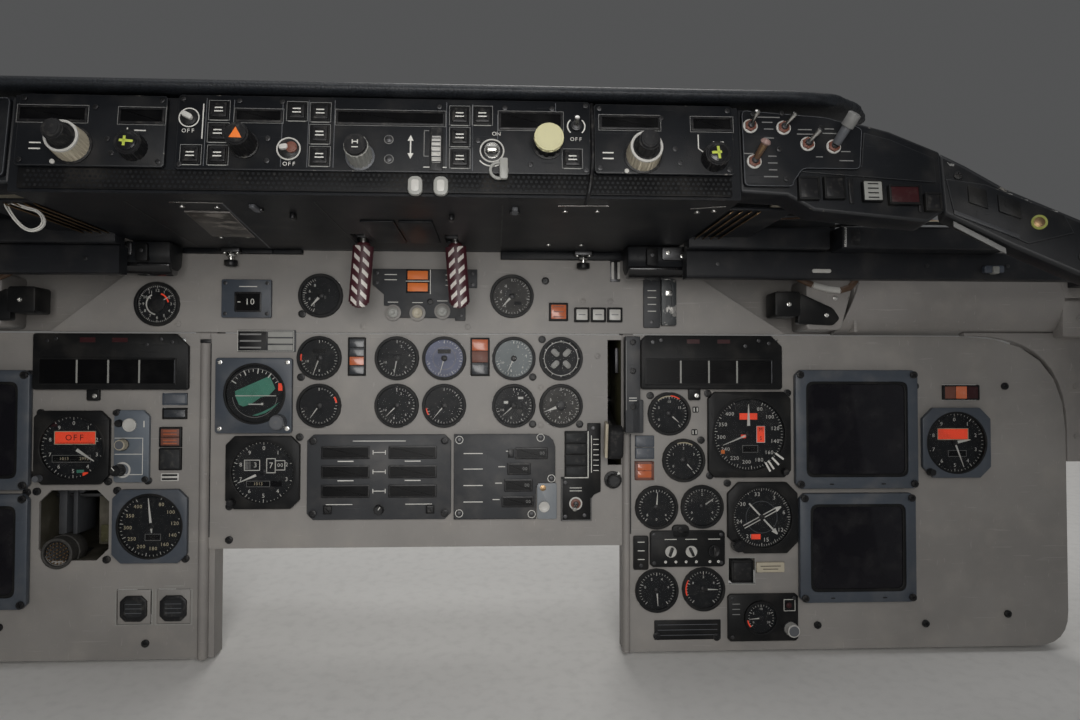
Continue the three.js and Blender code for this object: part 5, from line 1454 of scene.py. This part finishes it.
for name, side in (("captain", -1), ("first_officer", 1)):
    inner = plate("shieldPaint", mirrored(side, wingInner), -wing["thick"], wing["face"], edge=2.2,
        worn="wornBlack", steps=3)
    outer = plate("shieldPaint", mirrored(side, wingOuter), -wing["thick"], -4, edge=3.2, worn="wornBlack", steps=3)
    inset = plate("shieldPaint",
        mirrored(side, [(4, -84), (34, -92), (90, -124), (96, -140), (62, -146), (8, -114)]), -5, -2.8,
        edge=0.8, worn="wornBlack")
    boxes = [plate(look, mirrored(side, points), -4, top, edge=0.6)
        for look, top, points in (("blackPaint", -1.2, [(20, -92), (34, -98), (34, -114), (20, -107)]),
            ("blackPaint", -1.2, [(42, -102), (58, -110), (58, -125), (42, -117)]),
            ("greyPaint", -2, [(8, -112), (56, -138), (56, -142), (8, -116)]))]
    chips = [plate("greyMark", mirrored(side, [(x, y - 2.6), (x + wide * 0.3, y - wide * 0.18 - 3.4),
        (x + wide, y - wide * 0.5 - 2.4),
            (x + wide * 0.9, y - wide * 0.52 - 4.2), (x + wide * 0.4, y - wide * 0.3 - 5)]),
            -4.2, -3.9, edge=0) for x, y, wide in ((36, -91, 18), (60, -103.5, 5), (76, -113, 10), (6, -66, 6))]
    chips.append(plate("greyMark", mirrored(side, [(8, -125), (46, -152), (46, -147), (8, -120)]), -9, -7.5, edge=0.3))
    eye = [ovalRing("dullYellow", side * 71, -128.8, -3, 6.2, 4.2, 1.4),
        shift(turned("bronze", 4.4, -3, -1.9, [(0.9, 0.4)], 28, 0.4), side * 71, -128.8)]
    crease = plate("shieldPaint",
        mirrored(side, [(108, -134), (230, -200), (240, -214), (236, -232), (120, -168)]), -4.6, -3.2, edge=0.6)
    swept = join([outer, inset, crease] + boxes + chips + eye
        + [put(blackScrew, side * x, y, -4, size=0.8) for x, y in ((14, -82), (100, -160), (228, -224))])
    swept.data.transform(moved(side * wing["hinge"], 0, 0) @ spun(-side * wing["sweep"], "Y"))
    step = plate("shieldPaint",
        mirrored(side, [(404, -44), (427, -50), (464, -66), (464, -88), (344, -80), (352, -76), (400, -74)]),
        -3, -0.6, edge=0.8, worn="wornBlack")
    parts = [inner, swept, step]
    for x, y, width, height, look in wingLamps:
        parts += lens(side * x, y, width, height, 3, look, frameWidth=1.4 if look != "paleGrey" else 0.5, back=-4)
    parts += bars(side * 407.2, (-91, -95, -99, -103), 9, 1, 3, "blackPlastic")
    parts += [block(look, width, height, -2.2, -0.4, side * x, y, 1, 2, 0.3)
        for look, width, height, x, y in (("blackPlastic", 4, 22, 390, -96),
            ("blackPlastic", 4, 24, 449, -102))]
    settle(name + "_wing", parts, onFace, [name + "_warning_wing"])

    # on the captain's side the switches stand further out
    out = 0 if side > 0 else 14
    outline = rounded(mirrored(side, switchOutline), 4, 3)
    parts = [plate("shieldPaint", outline, -1.7, 2.5, edge=0.7)]
    parts += path([(x - side * 0.9 if abs(x) > 340 else x + side * 0.9, y) for x, y in outline], 0.4, 2.53,
        "greyPlastic", closed=True)
    for x, y, across, up, look in switches[:2] + switches[3:] if out else switches:
        parts += toggle(side * (x + out), y, 2.5, side * across, up, look, washer="white", nutLook="rust", slim=0.8)
    if not out:
        ball = turned("palePink", 3.2, 0, 1.4, [(0.5, 1.2), (0.7, 0.9), (0.8, 0.4)], 28, 0.3, top=4.6)
        ball = leaned(leaned(shift(ball, 0, 0, 16), -40, "X"), 26, "Y")
        arm = leaned(leaned(turned("brownTube", 2.6, 2, 17, sides=24, edge=0.4, top=3.2), -40, "X"), 26, "Y")
        parts += [shift(ball, 307.1, -73.2, 5), shift(arm, 307.1, -73.2, 5)]
    tube = turned("greyPlastic", 3.6, 0, 17, sides=28, edge=0.6, top=4)
    tip = turned("greyMark", 5.4, 16, 27.4, [(1.2, 0.6)], 28, 0.9)
    tube = leaned(leaned(join([tube, tip]), -42, "X"), side * 28, "Y")
    parts.append(shift(tube, side * (375.5 + out * 0.6), -59, 9))
    parts += [line(side * (x + out), y, wide, 0.9, 2.55, "greyMark")
        for x, y, wide in ((320, -33.5, 22), (320, -38, 9), (321, -44, 8), (321, -52, 8), (296 + 7, -66, 8),
            (323, -68, 7), (323, -74, 8), (323, -80, 7), (321, -86, 12), (352, -44, 12), (352, -48, 14),
            (373, -43, 8), (373, -47, 12), (363, -68, 6), (386, -63, 8), (386, -71, 12))]
    parts += [put(smallScrew, side * x, y, 2.5)
        for x, y in ((308, -31), (333, -30), (334, -88), (329, -62), (366, -42))]
    settle(name + "_light_switches", parts, onFace, [name + "_light_switch_panel"])

    x0, x1 = sideSpan(side, 296.3, 790)
    section = rounded([(56, 70), (86, 70), (86, 90), (56, 90)], 3, 3)
    parts = [beam("undersidePaint", section, x0, x1, edge=0)]
    for x0, x1, low, high, near, far in ((454, 634, 84, 108, 76, 120), (296.3, 449, 86.2, 110, 76, 100)):
        a0, a1 = sideSpan(side, x0, x1)
        parts.append(beam("undersidePaint", rounded([(low, near), (high, near), (high, far), (low, far)], 3, 3), a0,
            a1,
                edge=0.9))
    a0, a1 = sideSpan(side, 297, 470)
    parts.append(block("undersidePaint", a1 - a0, 76, 56, 62, (a0 + a1) / 2, 138))
    x0, x1 = sideSpan(side, 766, 790)
    parts.append(block("undersidePaint", x1 - x0, 30, 20.3, 71, (x0 + x1) / 2, 71))
    parts += [shift(put(smallScrew), side * x, 71, 90) for x in (330, 560, 650, 740)]
    parts += [block("steel", 2.4, 21, 119, 120.8, side * 457, 96, 0.8, 2, 0.4),
        block("blackPlastic", 10, 17, 119, 120.4, side * 468, 96, 1, 2, 0.4),
        block("white", 21, 4.2, 89.6, 91.2, side * 443, 64.2, 2, 3, 0.5),
        block("blueLens", 22, 8, 89.6, 96, side * 632, 67, 2, 3, 0.8),
        block("paleGrey", 7, 8, 89.6, 98, side * 633, 66, 1, 2, 0.8)]
    parts.append(plate("cream", mirrored(side, [(384, 126), (391, 144), (411, 146), (425, 128)]), 84, 96, edge=1))
    # wires bundled along the beam, and on the captain's side a coiled white cord
    for look, radius, trail in looms:
        parts.append(cord(look, [(side * x, y, z) for x, y, z in trail], radius))
    if side < 0:
        for lift, grow in ((0, 1), (2, 0.9), (3.6, 1.06)):
            parts.append(cord("whiteMark", [(-316 + x * grow * 0.88, 86 + y * grow * 0.88, 228 + lift) for x,
                y in coil], 0.8))
    smooth(parts[0], 40)
    settle(name + "_beam", parts, onPanel, [name + "_support_beam"])

    x0, x1 = sideSpan(side, *((237, 311) if side > 0 else (256, 333)))
    middle = (x0 + x1) / 2
    hood = beam("shieldPaint",
        rounded([(70, 24), (64, 36), (66, 50), (76, 60), (94.7, 60), (94.7, 20)], [3, 5, 5, 6, 0, 0], 4), x0,
        x1, edge=3)
    bulb = beam("shinyBlack",
        rounded([(61, 30), (59.4, 38), (61, 49), (69, 58), (76, 54), (74, 34), (68, 28)], [3, 4, 4, 4, 3, 3, 3],
            4), x0 + 2, x1 - 2, edge=2.4)
    clamp = [block("darkMetal", 30, 15, 57, 62.4, middle + side * 16, 86, 3, 3, 0.9),
        block("blackPaint", 13, 20, 57, 65, middle - side * 10, 82, 3, 3, 1.2),
        put(steelScrew, middle + side * 8, 87, 62.4), put(steelScrew, middle + side * 24, 83, 62.4),
        put(smallScrew, middle - side * 10, 84, 65)]
    plug = leaned(turned("blueLens", 4.2, 0, 13, [(0.8, -1.2)], 20, 0.4), side * 90, "Y")
    sleeve = leaned(turned("brownTube", 2.6, 12, 40, sides=16, edge=0.4), side * 90, "Y")
    outEnd = x1 if side > 0 else x0
    settle(name + "_lamp", [hood, bulb, shift(plug, outEnd, 86, 50), shift(sleeve, outEnd, 86, 50)] + clamp,
        onPanel, [name + "_flood_lamp"])

    # Side ledge: a rounded cover with a slanted end, and a recess with a lug and its arm
    x0, x1 = sideSpan(side, 490, 790)
    coverSection = [(0.6, -14), (6, 4), (16, 14), (32, 20), (52, 20), (74, 13), (96, 2), (117.7, -4.3),
        (117.7, -9), (96, -4), (74, 8), (52, 15), (32, 15), (18, 9), (10, 0), (6, -14)]
    cover = beam("ledgePaint", rounded(coverSection, [0, 4, 6, 8, 8, 9, 8, 0, 0, 6, 7, 6, 6, 4, 3, 0], 4), x0,
        x1, edge=0)
    slant = plate("ledgePaint", mirrored(side, [(480, -4), (491, -4), (518, 66), (512, 130), (470, 130)]), -30,
        40, edge=0)
    cover = soften(carve(cover, [slant]), 0.9, worn="wornLedge")
    edge = 775.6
    skirtArc = rounded([(edge, -115), (edge, -0.3), (650, -0.3)], [0, 112, 0], 10)
    skirt = plate("ledgePaint", mirrored(side, skirtArc + [(650, 4), (800, 4), (800, -150), (edge, -150)]), -10,
        2, edge=1.2)
    a0, a1 = sideSpan(side, 760, 800)
    cheek = block("ledgePaint", a1 - a0, 119.7, -14, 20, (a0 + a1) / 2, 57.85, 0, edge=2.5)
    recess = plate("boardPaint",
        mirrored(side, [(322, 3), (515, 3), (515, 117.7), (306, 117.7), (306, 62), (322, 62)]), -34, -30,
        edge=0.8)
    b0, b1 = sideSpan(side, 511, 515)
    wall = block("ledgePaint", b1 - b0, 114.7, -34, 14, (b0 + b1) / 2, 60.35, edge=1)
    c0, c1 = sideSpan(side, 306, 515)
    top = block("ledgePaint", c1 - c0, 12, -34, -4.3, (c0 + c1) / 2, 111.7, edge=0.8)
    lug = plate("ledgePaint",
        rounded(mirrored(side, [(452, 5), (493, 5), (506, 52), (506, 64), (452, 64)]), 5, 3), -31, 21, edge=2.2,
        worn="wornLedge")
    box = block("blackPaint", 30, 29, -8, 26, side * 428.5, 34.5, 3, 3, 1.6)
    bracket = plate("blackPaint",
        rounded(mirrored(side, [(440, 12), (482, 10), (490, 18), (482, 30), (444, 47)]), 3, 3), 14, 25,
        edge=1.2)
    parts = [cover, skirt, cheek, recess, wall, top, lug, box, bracket]
    bend = [(422.6, 84), (432, 72), (444, 63), (458, 57), (476, 52), (490, 50.5), (502, 54), (509, 62)]
    for index, (start, stop) in enumerate(zip(bend, bend[1:])):
        (x2, y2), (x3, y3) = start, stop
        length = math.hypot(x3 - x2, y3 - y2)
        piece = turned("white" if index in (3, 4) else "brownTube", 3.6, -0.8, length + 0.8, [(0.8, 0.4)], 20, 0.5)
        piece.data.transform(moved(side * x2, y2, 24)
            @ Vector((side * (x3 - x2), y3 - y2, 0)).to_track_quat("Z", "Y").to_matrix().to_4x4())
        parts.append(piece)
    parts += [put(steelScrew, side * x, y, z)
        for x, y, z in ((429.7, 34.1, 26), (473.9, 21.8, 25), (486, 42, 21), (460, 56, 21))]
    parts += [put(paintedScrew, side * x, y, z)
        for x, y, z in ((780, 20, 20), (780, 95, 20), (787, -60, 2), (787, -120, 2))]
    settle(name + "_ledge", parts, onPanel, [name + "_side_ledge"])
print("wings, beams and ledges modelled")

# Padded cover: a level slab with a thick front lip, its ends rounded in plan, softened and crowned
pad = {"half": 457, "straight": 340, "side": 180, "front": 301, "rear": -60, "voxel": 6.2, "crown": 2.4}
slabSection = [(178.4, 284), (178, 298), (186, 300), (190, 294), (207, 190), (238, -2), (222, -60), (212, -60),
    (225, -6), (224.8, 0)]


def padPlan():
    half, straight, front = pad["half"] - 2, pad["straight"], pad["front"]
    ahead = []
    for step in range(13):
        t = step / 12
        x = (1 - t) ** 2 * half + 2 * t * (1 - t) * (half - 52) + t ** 2 * straight
        y = (1 - t) ** 2 * pad["side"] + 2 * t * (1 - t) * (front - 10) + t ** 2 * front
        ahead.append((x, y))
    return [(-half, pad["rear"]), (half, pad["rear"])] + ahead + [(-x, y) for x, y in reversed(ahead)]


slab = beam("leather", slabSection, -pad["half"] + 2, pad["half"] - 2, edge=0)
plan = plate("leather", padPlan(), -10, 400, edge=0)
plan.data.transform(Matrix(((1, 0, 0), (0, 0, 1), (0, 1, 0))).to_4x4())
plan.data.flip_normals()
apply(slab, "BOOLEAN", operation="INTERSECT", object=plan, solver="EXACT")
drop(plan)
apply(slab, "REMESH", mode="VOXEL", voxel_size=pad["voxel"], use_smooth_shade=True)
apply(slab, "SMOOTH", factor=0.5, iterations=6)
for vertex in slab.data.vertices:
    # crowned between its edges, with a shallow sewn channel behind the lip
    x, y, z = vertex.co
    underside = 224.8 - (z - 0) * 46.4 / 284
    above = max(0, min(1, (y - underside - 4) / 8))
    inside = max(0, min(1, (pad["half"] - abs(x)) / 60)) * max(0, min(1, (z + 40) / 80, (292 - z) / 40))
    groove = math.exp(-((z - 262) / 4.5) ** 2) * 1.6
    vertex.co.y += above * (pad["crown"] * inside - groove - 1.2)
apply(slab, "SUBSURF", levels=1, render_levels=1)
piece = settle("padded_cover", [slab], onPanel, ["glareshield_pad"])
print("padded cover modelled")

# Fire handles: an oval grip with slanting stripes on a short stem
handles = {"top": 91, "bottom": 24, "z": 60, "radius": 11.5, "flat": 0.62}
for name, topX, bottomX in (("left_fire_handle", -51, -56), ("right_fire_handle", 48.5, 53.5)):
    length = math.hypot(handles["top"] - handles["bottom"], topX - bottomX) - 6
    grip = turned("handleStripes", handles["radius"], 0, length, [(1.6, 2.4), (2.4, 2), (2.8, 1.2), (2.4, 0.4)],
        sides=48, edge=1.2, top=handles["radius"] - 0.4)
    grip = smooth(apply(grip, "SUBSURF", levels=1, render_levels=1), 60)
    layer = grip.data.uv_layers.new(name="stripes")
    flip = 1 if topX < 0 else -1
    for loop in grip.data.loops:
        spotOn = grip.data.vertices[loop.vertex_index].co
        layer.data[loop.index].uv = (flip * spotOn.x / handles["radius"] / 2 + 0.5, 1 - spotOn.z / length)
    for other in [item for item in grip.data.uv_layers if item.name != "stripes"]:
        grip.data.uv_layers.remove(other)
    direction = Vector((bottomX - topX, handles["bottom"] - handles["top"], 0))
    grip.data.transform(moved(topX, handles["top"], handles["z"])
        @ Matrix.Diagonal((1, 1, handles["flat"], 1)) @ Matrix.Rotation(-math.atan2(direction.x, direction.y),
            4, "Z") @ spun(-90, "X"))
    stem = leaned(turned("steel", 4.5, 0, 19, [(0.6, 0.3)], 28, 0.3), -90, "X")
    collar = block("darkMetal", 24, 6, 51, 69, topX, 102.3, 1.5, 2, 0.6)
    neck = leaned(turned("handleRed", 7.6, 0, 6, [(1.6, 1.2)], 32, 0.8), -90, "X")
    parts = [grip, shift(stem, topX, 86, 60), collar, shift(put(neck, size=(1, 1, 0.75)), topX, 88, 60)]
    drop(neck)
    settle(name + "_grip", parts, onPanel, [name], name)
print("fire handles modelled")

# Board fastenings and small plates
boardScrews = [(146.2, -6.3), (135.4, -49.9), (135.4, -104.4), (190, -104.5), (332.5, -123.4), (342.8, -164.9),
    (363.5, -173.7), (272.8, -71.4), (340.8, -69), (435.7, -68.3), (-129.8, -50.5), (-130.7, -118.9),
    (-418, -91.1), (-333.3, -91.2), (-430.6, -47.3), (-425, -160.5), (-343.2, -168.3), (-299.3, -167.6),
    (-431.9, -180), (-421.1, -179.1), (-333, -178.6), (-343.7, -255.8), (-256.9, -255.6), (-208.7, -197.2),
    (-208.7, -235), (-460, -330), (-300, -350), (-600, -330), (-700, -330), (-700, -60), (-600, -60),
    (470, -340), (600, -340), (700, -330), (700, -60), (590, -60), (280, -350), (350, -352)]
upperScrews = [(-129.1, 22), (300, 90), (-300, 90), (150, 62)]
lightScrews = [(-268.8, 9.9), (145, -61.7), (145.1, -106), (211.4, -25.5), (194.4, 38.6), (226.6, 38.8),
    (60, 8), (-60, 8)]
parts = [put(blackScrew, x, y, 0, turn=index * 23) for index, (x, y) in enumerate(boardScrews + upperScrews)]
parts += [put(paintedScrew, x, y, 0, turn=index * 37) for index, (x, y) in enumerate(lightScrews)]
placards = [(-275.4, -163.7, 20, 9, "white"), (316, -343.3, 78, 22.6, "blackPaint"),
    (231.8, 74.4, 11.8, 26, "darkMetal"), (326.4, -87.8, 7, 7, "blackPlastic"),
    (325, -114.2, 7, 7, "blackPlastic"), (-185.5, -9.2, 32, 25, "blackPaint"),
    (-152.8, -9.2, 34, 25, "greyPaint")]
for x, y, width, height, look in placards:
    parts.append(block(look, width, height, 0.02, 1.2, x, y, 1, 2, 0.3))
parts += [line(-275.4, -163.7 + dy, 17, 2.2, 1.22, "blackPlastic") for dy in (-2.2, 2.2)]
parts += [line(-153.4, -9.2 + dy, 28, 5.8, 1.22, "paleGrey") for dy in (-7.6, 0, 7.6)] + boxLines(-169.8, -9.2,
    63, 23, 1.22, 0.5)
parts += [line(-187, -9.2 + dy, 24, 1.8, 1.22, "greyMark") for dy in (-7.6, 0, 7.6)]
parts += [line(316, -343.3 + dy, 70, 0.6, 1.22, "greyPlastic") for dy in (-6, 0, 6)]
parts += [line(x + dx, y, 1.2, 4.6, 1.22) for x, y in ((326.4, -87.8), (325, -114.2)) for dx in (-1.8, 1.8)]
parts += [block(look, 3, 20, 1, 3.2, 231.8 + dx, 74.4, 0.8, 2, 0.3)
    for dx, look in ((-3, "white"), (1, "blackPlastic"), (4, "white"))]
settle("board_fastenings", parts, onPanel)

# Half round strips down the seams beside the centre board. A black line down each strip's right side is painted
# shadow, and a black block over the port strip's top end is painted shade in the gap there
for name, x, radius, top in (("port_strip", -237.5, 5.2, -12), ("starboard_strip", 244.5, 4.2, -116)):
    bead = turned("ledgePaint", radius + 0.12, 0, top + 368, sides=40, edge=0.3)
    parts = [shift(leaned(bead, -90, "X"), x, -368, 0),
        # black line beside the bead: painted shadow along its right side
        put(tick, x + radius + 0.9, (top - 232) / 2, 0.05, 0, (1.4, top + 232, 2), "blackPlastic")]
    if x < 0:
        # black block over the top end: painted shade in the gap above the strip
        parts += [block("blackPlastic", 12, 4.4, 0.02, 2.4, x + 0.6, top + 2.4, 0.8, 2, 0.4)]
    settle(name, parts, onPanel)

# Housing: a perforated strip with two lamps along the face's foot
strip = {"y": -95, "half": 288, "height": 17, "pitch": 4.2, "rows": 4, "rise": 3.9}
parts = [block("meshPaint", 2 * strip["half"], strip["height"], 0.02, 1.6, 0, strip["y"], 1, 2, 0.5)]
hole = turned("dialBlack", 1.35, 1.5, 1.72, sides=6, edge=0)
for row in range(strip["rows"]):
    start = -strip["half"] + 6 + (row % 2) * strip["pitch"] / 2
    holes = put(hole, start, strip["y"] + (row - 1.5) * strip["rise"])
    parts.append(apply(holes, "ARRAY", count=136, use_relative_offset=False, use_constant_offset=True,
            constant_offset_displace=(strip["pitch"], 0, 0)))
drop(hole)
for x in (26.8, 47.5):
    lamp = block("paleGrey", 12, 16, 0.5, 5.6, x, -98.5, 5, 6, 1.2)
    parts += [sunk(lamp, 1.8, 0.4), block("white", 7.6, 10.6, 4.6, 5.5, x, -98.5, 3, 4, 0.4)]
parts.append(cord("blackPlastic",
        [(171.8, -24, 1), (171.8, -34, 4.4), (172.2, -52, 5), (172, -70, 5), (171.2, -84, 5), (169.6, -96, 5),
            (168, -104, 3.6), (167, -107.6, -1), (166.6, -108, -8)], 1.7))
settle("housing_strip", parts, onFace)

# Under the housing's floor: a worn plate, seams, clips, latches and louvres
onUnder = panelAt(0, 95) @ spun(90, "X")
wornPlate = plate("scuffedPaint", [(-182, 226.7), (-143, 223.5), (-157.2, 94), (-198.8, 99)], 0.05, 1.6,
    edge=0.5, worn="wornLedge")
parts = [wornPlate] + path([(-139.1, 258.3), (-162, 16.9)], 1.6, 0.1, "greyPlastic")
parts += path([(-218, 264), (-240, 20)], 1.6, 0.1, "blackPlastic") + path([(-60, 270), (-60, 20)], 1.2, 0.1,
    "blackPlastic")
parts += path([(-180, 263.9), (-137.8, 262.4)], 2.4, 0.9, "steel") + path([(146, 266.7), (187.7, 269.1)], 2.4,
    0.9, "steel")
parts += path([(261.3, 262), (288, 272)], 2.4, 0.9, "steel")
parts += spread(steelScrew, 0,
    ((-177.4, 243.9), (-148.6, 241.4), (-165.1, 92), (-194, 87), (153.2, 241.8), (181.4, 243.4), (270.5, 244.2),
        (284, 250), (150, 60), (186, 60)))
for x, y in ((-115.1, 251.6), (108.8, 252.1)):
    parts += [block("greyPlastic", 5, 22, 0.02, 3.2, x, y - 6, 1, 2, 0.5),
        block("darkMetal", 9, 7, 0.02, 2.2, x, y - 16, 1, 2, 0.4)]
for x, y in ((-206, 14), (193, 14)):
    knob = turned("blackPlastic", 7.5, 14, 20, [(1.4, 0.8)], 28, 1)
    parts += [block("darkMetal", 22, 9, 0.02, 5, x, y, 2, 3, 0.7),
        shift(turned("steel", 3, 4, 15, sides=20, edge=0.5), x, y),
        shift(turned("steel", 5.4, 6, 9, [(1, 0.5)], 6, 0.5), x, y), shift(knob, x, y),
        put(steelScrew, x - 7, y, 5), put(steelScrew, x + 7, y, 5)]
parts += [block("shieldPaint", x1 - x0, 7, 0.02, deep, (x0 + x1) / 2, 4.5, 1, 2, 0.8)
    for x0, x1, deep in ((98, 261, 9), (-296, -161, 5), (-161, -128, 5))]
parts += [block("shieldPaint", 32, 120, 0.02, 2, x, 130, 1.5, 3, 0.8) for x in (-19, 17)]
parts += [block("blackPlastic", 5, 12, 0.02, 5, x, y, 2, 3, 0.8) for x, y in ((52, 214), (-90, 214))]
parts += path([(98, 262), (98, 20)], 1.4, 0.1, "blackPlastic") + path([(-128, 12), (98, 12)], 1.2, 0.1, "greyPlastic")
settle("housing_underside", parts, onUnder)

# Bronze louvres beside the housing's floor
for name, side in (("port_louvres", -1), ("starboard_louvres", 1)):
    parts = [block("undersidePaint", 62, 150, -6, -3, side * 330, 165, 2, 3, 0.8)]
    for index in range(4):
        fin = leaned(block("bronze", 4.6, 142, -0.5, 0.5, edge=0.3), side * 32, "Y")
        parts.append(shift(fin, side * (304 + index * 8.4), 165, -1.6))
    settle(name, parts, onUnder)
print("fastenings and housing details modelled")

# The bay whose instrument is out: a tray with runners, and a round connector full of pins
bay = {"x": -380.5, "y": -217.4, "half": 41, "depth": 150, "wall": 2}
tray = block("trayPaint", 2 * bay["half"], 2 * bay["half"] + 2, -bay["depth"], -4.3, corner=3, steps=3, edge=0)
hollow = block("trayPaint", 2 * (bay["half"] - bay["wall"]), 2 * (bay["half"] - bay["wall"]) + 2,
    bay["wall"] - bay["depth"], 2, corner=3, steps=3, edge=0)
parts = [soften(carve(tray, [hollow]), 0.6)]
parts += [block("greyPaint", wide, 52, -70, -24, x, 12, 1, 2, 0.8) for x, wide in ((-24, 9), (-10, 5))]
parts += [block("greyPaint", 30, 6, -70, -28, -17, 36, 1, 2, 0.6),
    block("trayPaint", 22, 62, -76, -30, 25, 4, 2, 3, 1),
    block("slotLining", 15, 20, -40, -29, 24, -14, 2, 3, 0.8),
    block("darkMetal", 70, 4, -60, -30, 0, 30, 1, 2, 0.5)]
plug = {"x": -17, "y": -31}
shell = ring("dialGrey", 17.4, 14, -34, 4, edge=1)
core = turned("darkMetal", 13.8, -32, 0, [(1.4, -0.6)], 36, 0.5)
cable = leaned(turned("rubber", 10, -112, -33, [(1, 0.6)], 28, 0.6), -9, "X")
nut = turned("dialGrey", 19, -30, -12, [(0.8, 0.3)], 12, 0.8)
parts += [shift(piece, plug["x"], plug["y"]) for piece in (shell, core, shift(cable, 0, -6, 0), nut)]
pin = turned("bronze", 0.8, -1, 2.2, [(0.2, 0.2)], 8, 0)
for circle, count in ((0, 1), (4, 6), (8, 12), (11.4, 18)):
    for step in range(count):
        x, y = spot(circle, step * 360 / count)
        parts.append(put(pin, plug["x"] + x, plug["y"] + y))
drop(pin)
settle("empty_bay", parts, onPanel @ moved(bay["x"], bay["y"], 0), ["empty_instrument_tray"])
print("empty bay modelled")

for item in [tick, needle, blackScrew, smallScrew, steelScrew, paintedScrew, pushKey, smallRing, smallDial,
    smallGlass, largeDial, largeGlass, hub, *toggleParts, *shapes.values()]:
    drop(item)

# Floor, soft lights and a pale surround
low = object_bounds()[0][2]
deselect()
bpy.ops.mesh.primitive_plane_add(size=14, location=(0, 0, low - 0.002))
floor = bpy.context.active_object
floor.name = "floor"
floor.data.materials.append(molded((0.8, 0.79, 0.77), 0.8, dust=0.02))
lights = [
    {"name": "key", "at": (0.1, -1.2, 0.14), "size": 0.6, "power": 2.2, "color": (1, 0.985, 0.965),
        "spread": 92},
    {"name": "fill", "at": (1.9, -1.7, 0.2), "size": 1.4, "power": 1.6, "color": (0.95, 0.97, 1)},
    {"name": "overhead", "at": (0, -0.2, 2.2), "size": 1.8, "power": 20, "color": (1, 1, 1)},
    {"name": "rear", "at": (0.4, 2.4, 1.3), "size": 1.6, "power": 26, "color": (1, 0.98, 0.95)}]
for row in lights:
    data = bpy.data.lights.new(row["name"], "AREA")
    data.shape, data.size, data.energy, data.color = "SQUARE", row["size"], row["power"], row["color"]
    data.spread = math.radians(row.get("spread", 180))
    lamp = bpy.data.objects.new(row["name"], data)
    bpy.context.scene.collection.objects.link(lamp)
    lamp.location = row["at"]
    lamp.rotation_euler = (Vector((0, 0, -0.25)) - lamp.location).to_track_quat("-Z", "Y").to_euler()
world = bpy.data.worlds.new("studio")
bpy.context.scene.world = world
world.use_nodes = True
world.node_tree.nodes["Background"].inputs["Color"].default_value = (0.86, 0.87, 0.88, 1)
world.node_tree.nodes["Background"].inputs["Strength"].default_value = 0.1
bpy.context.scene.view_settings.view_transform = "Standard"
print("stage and lights set")
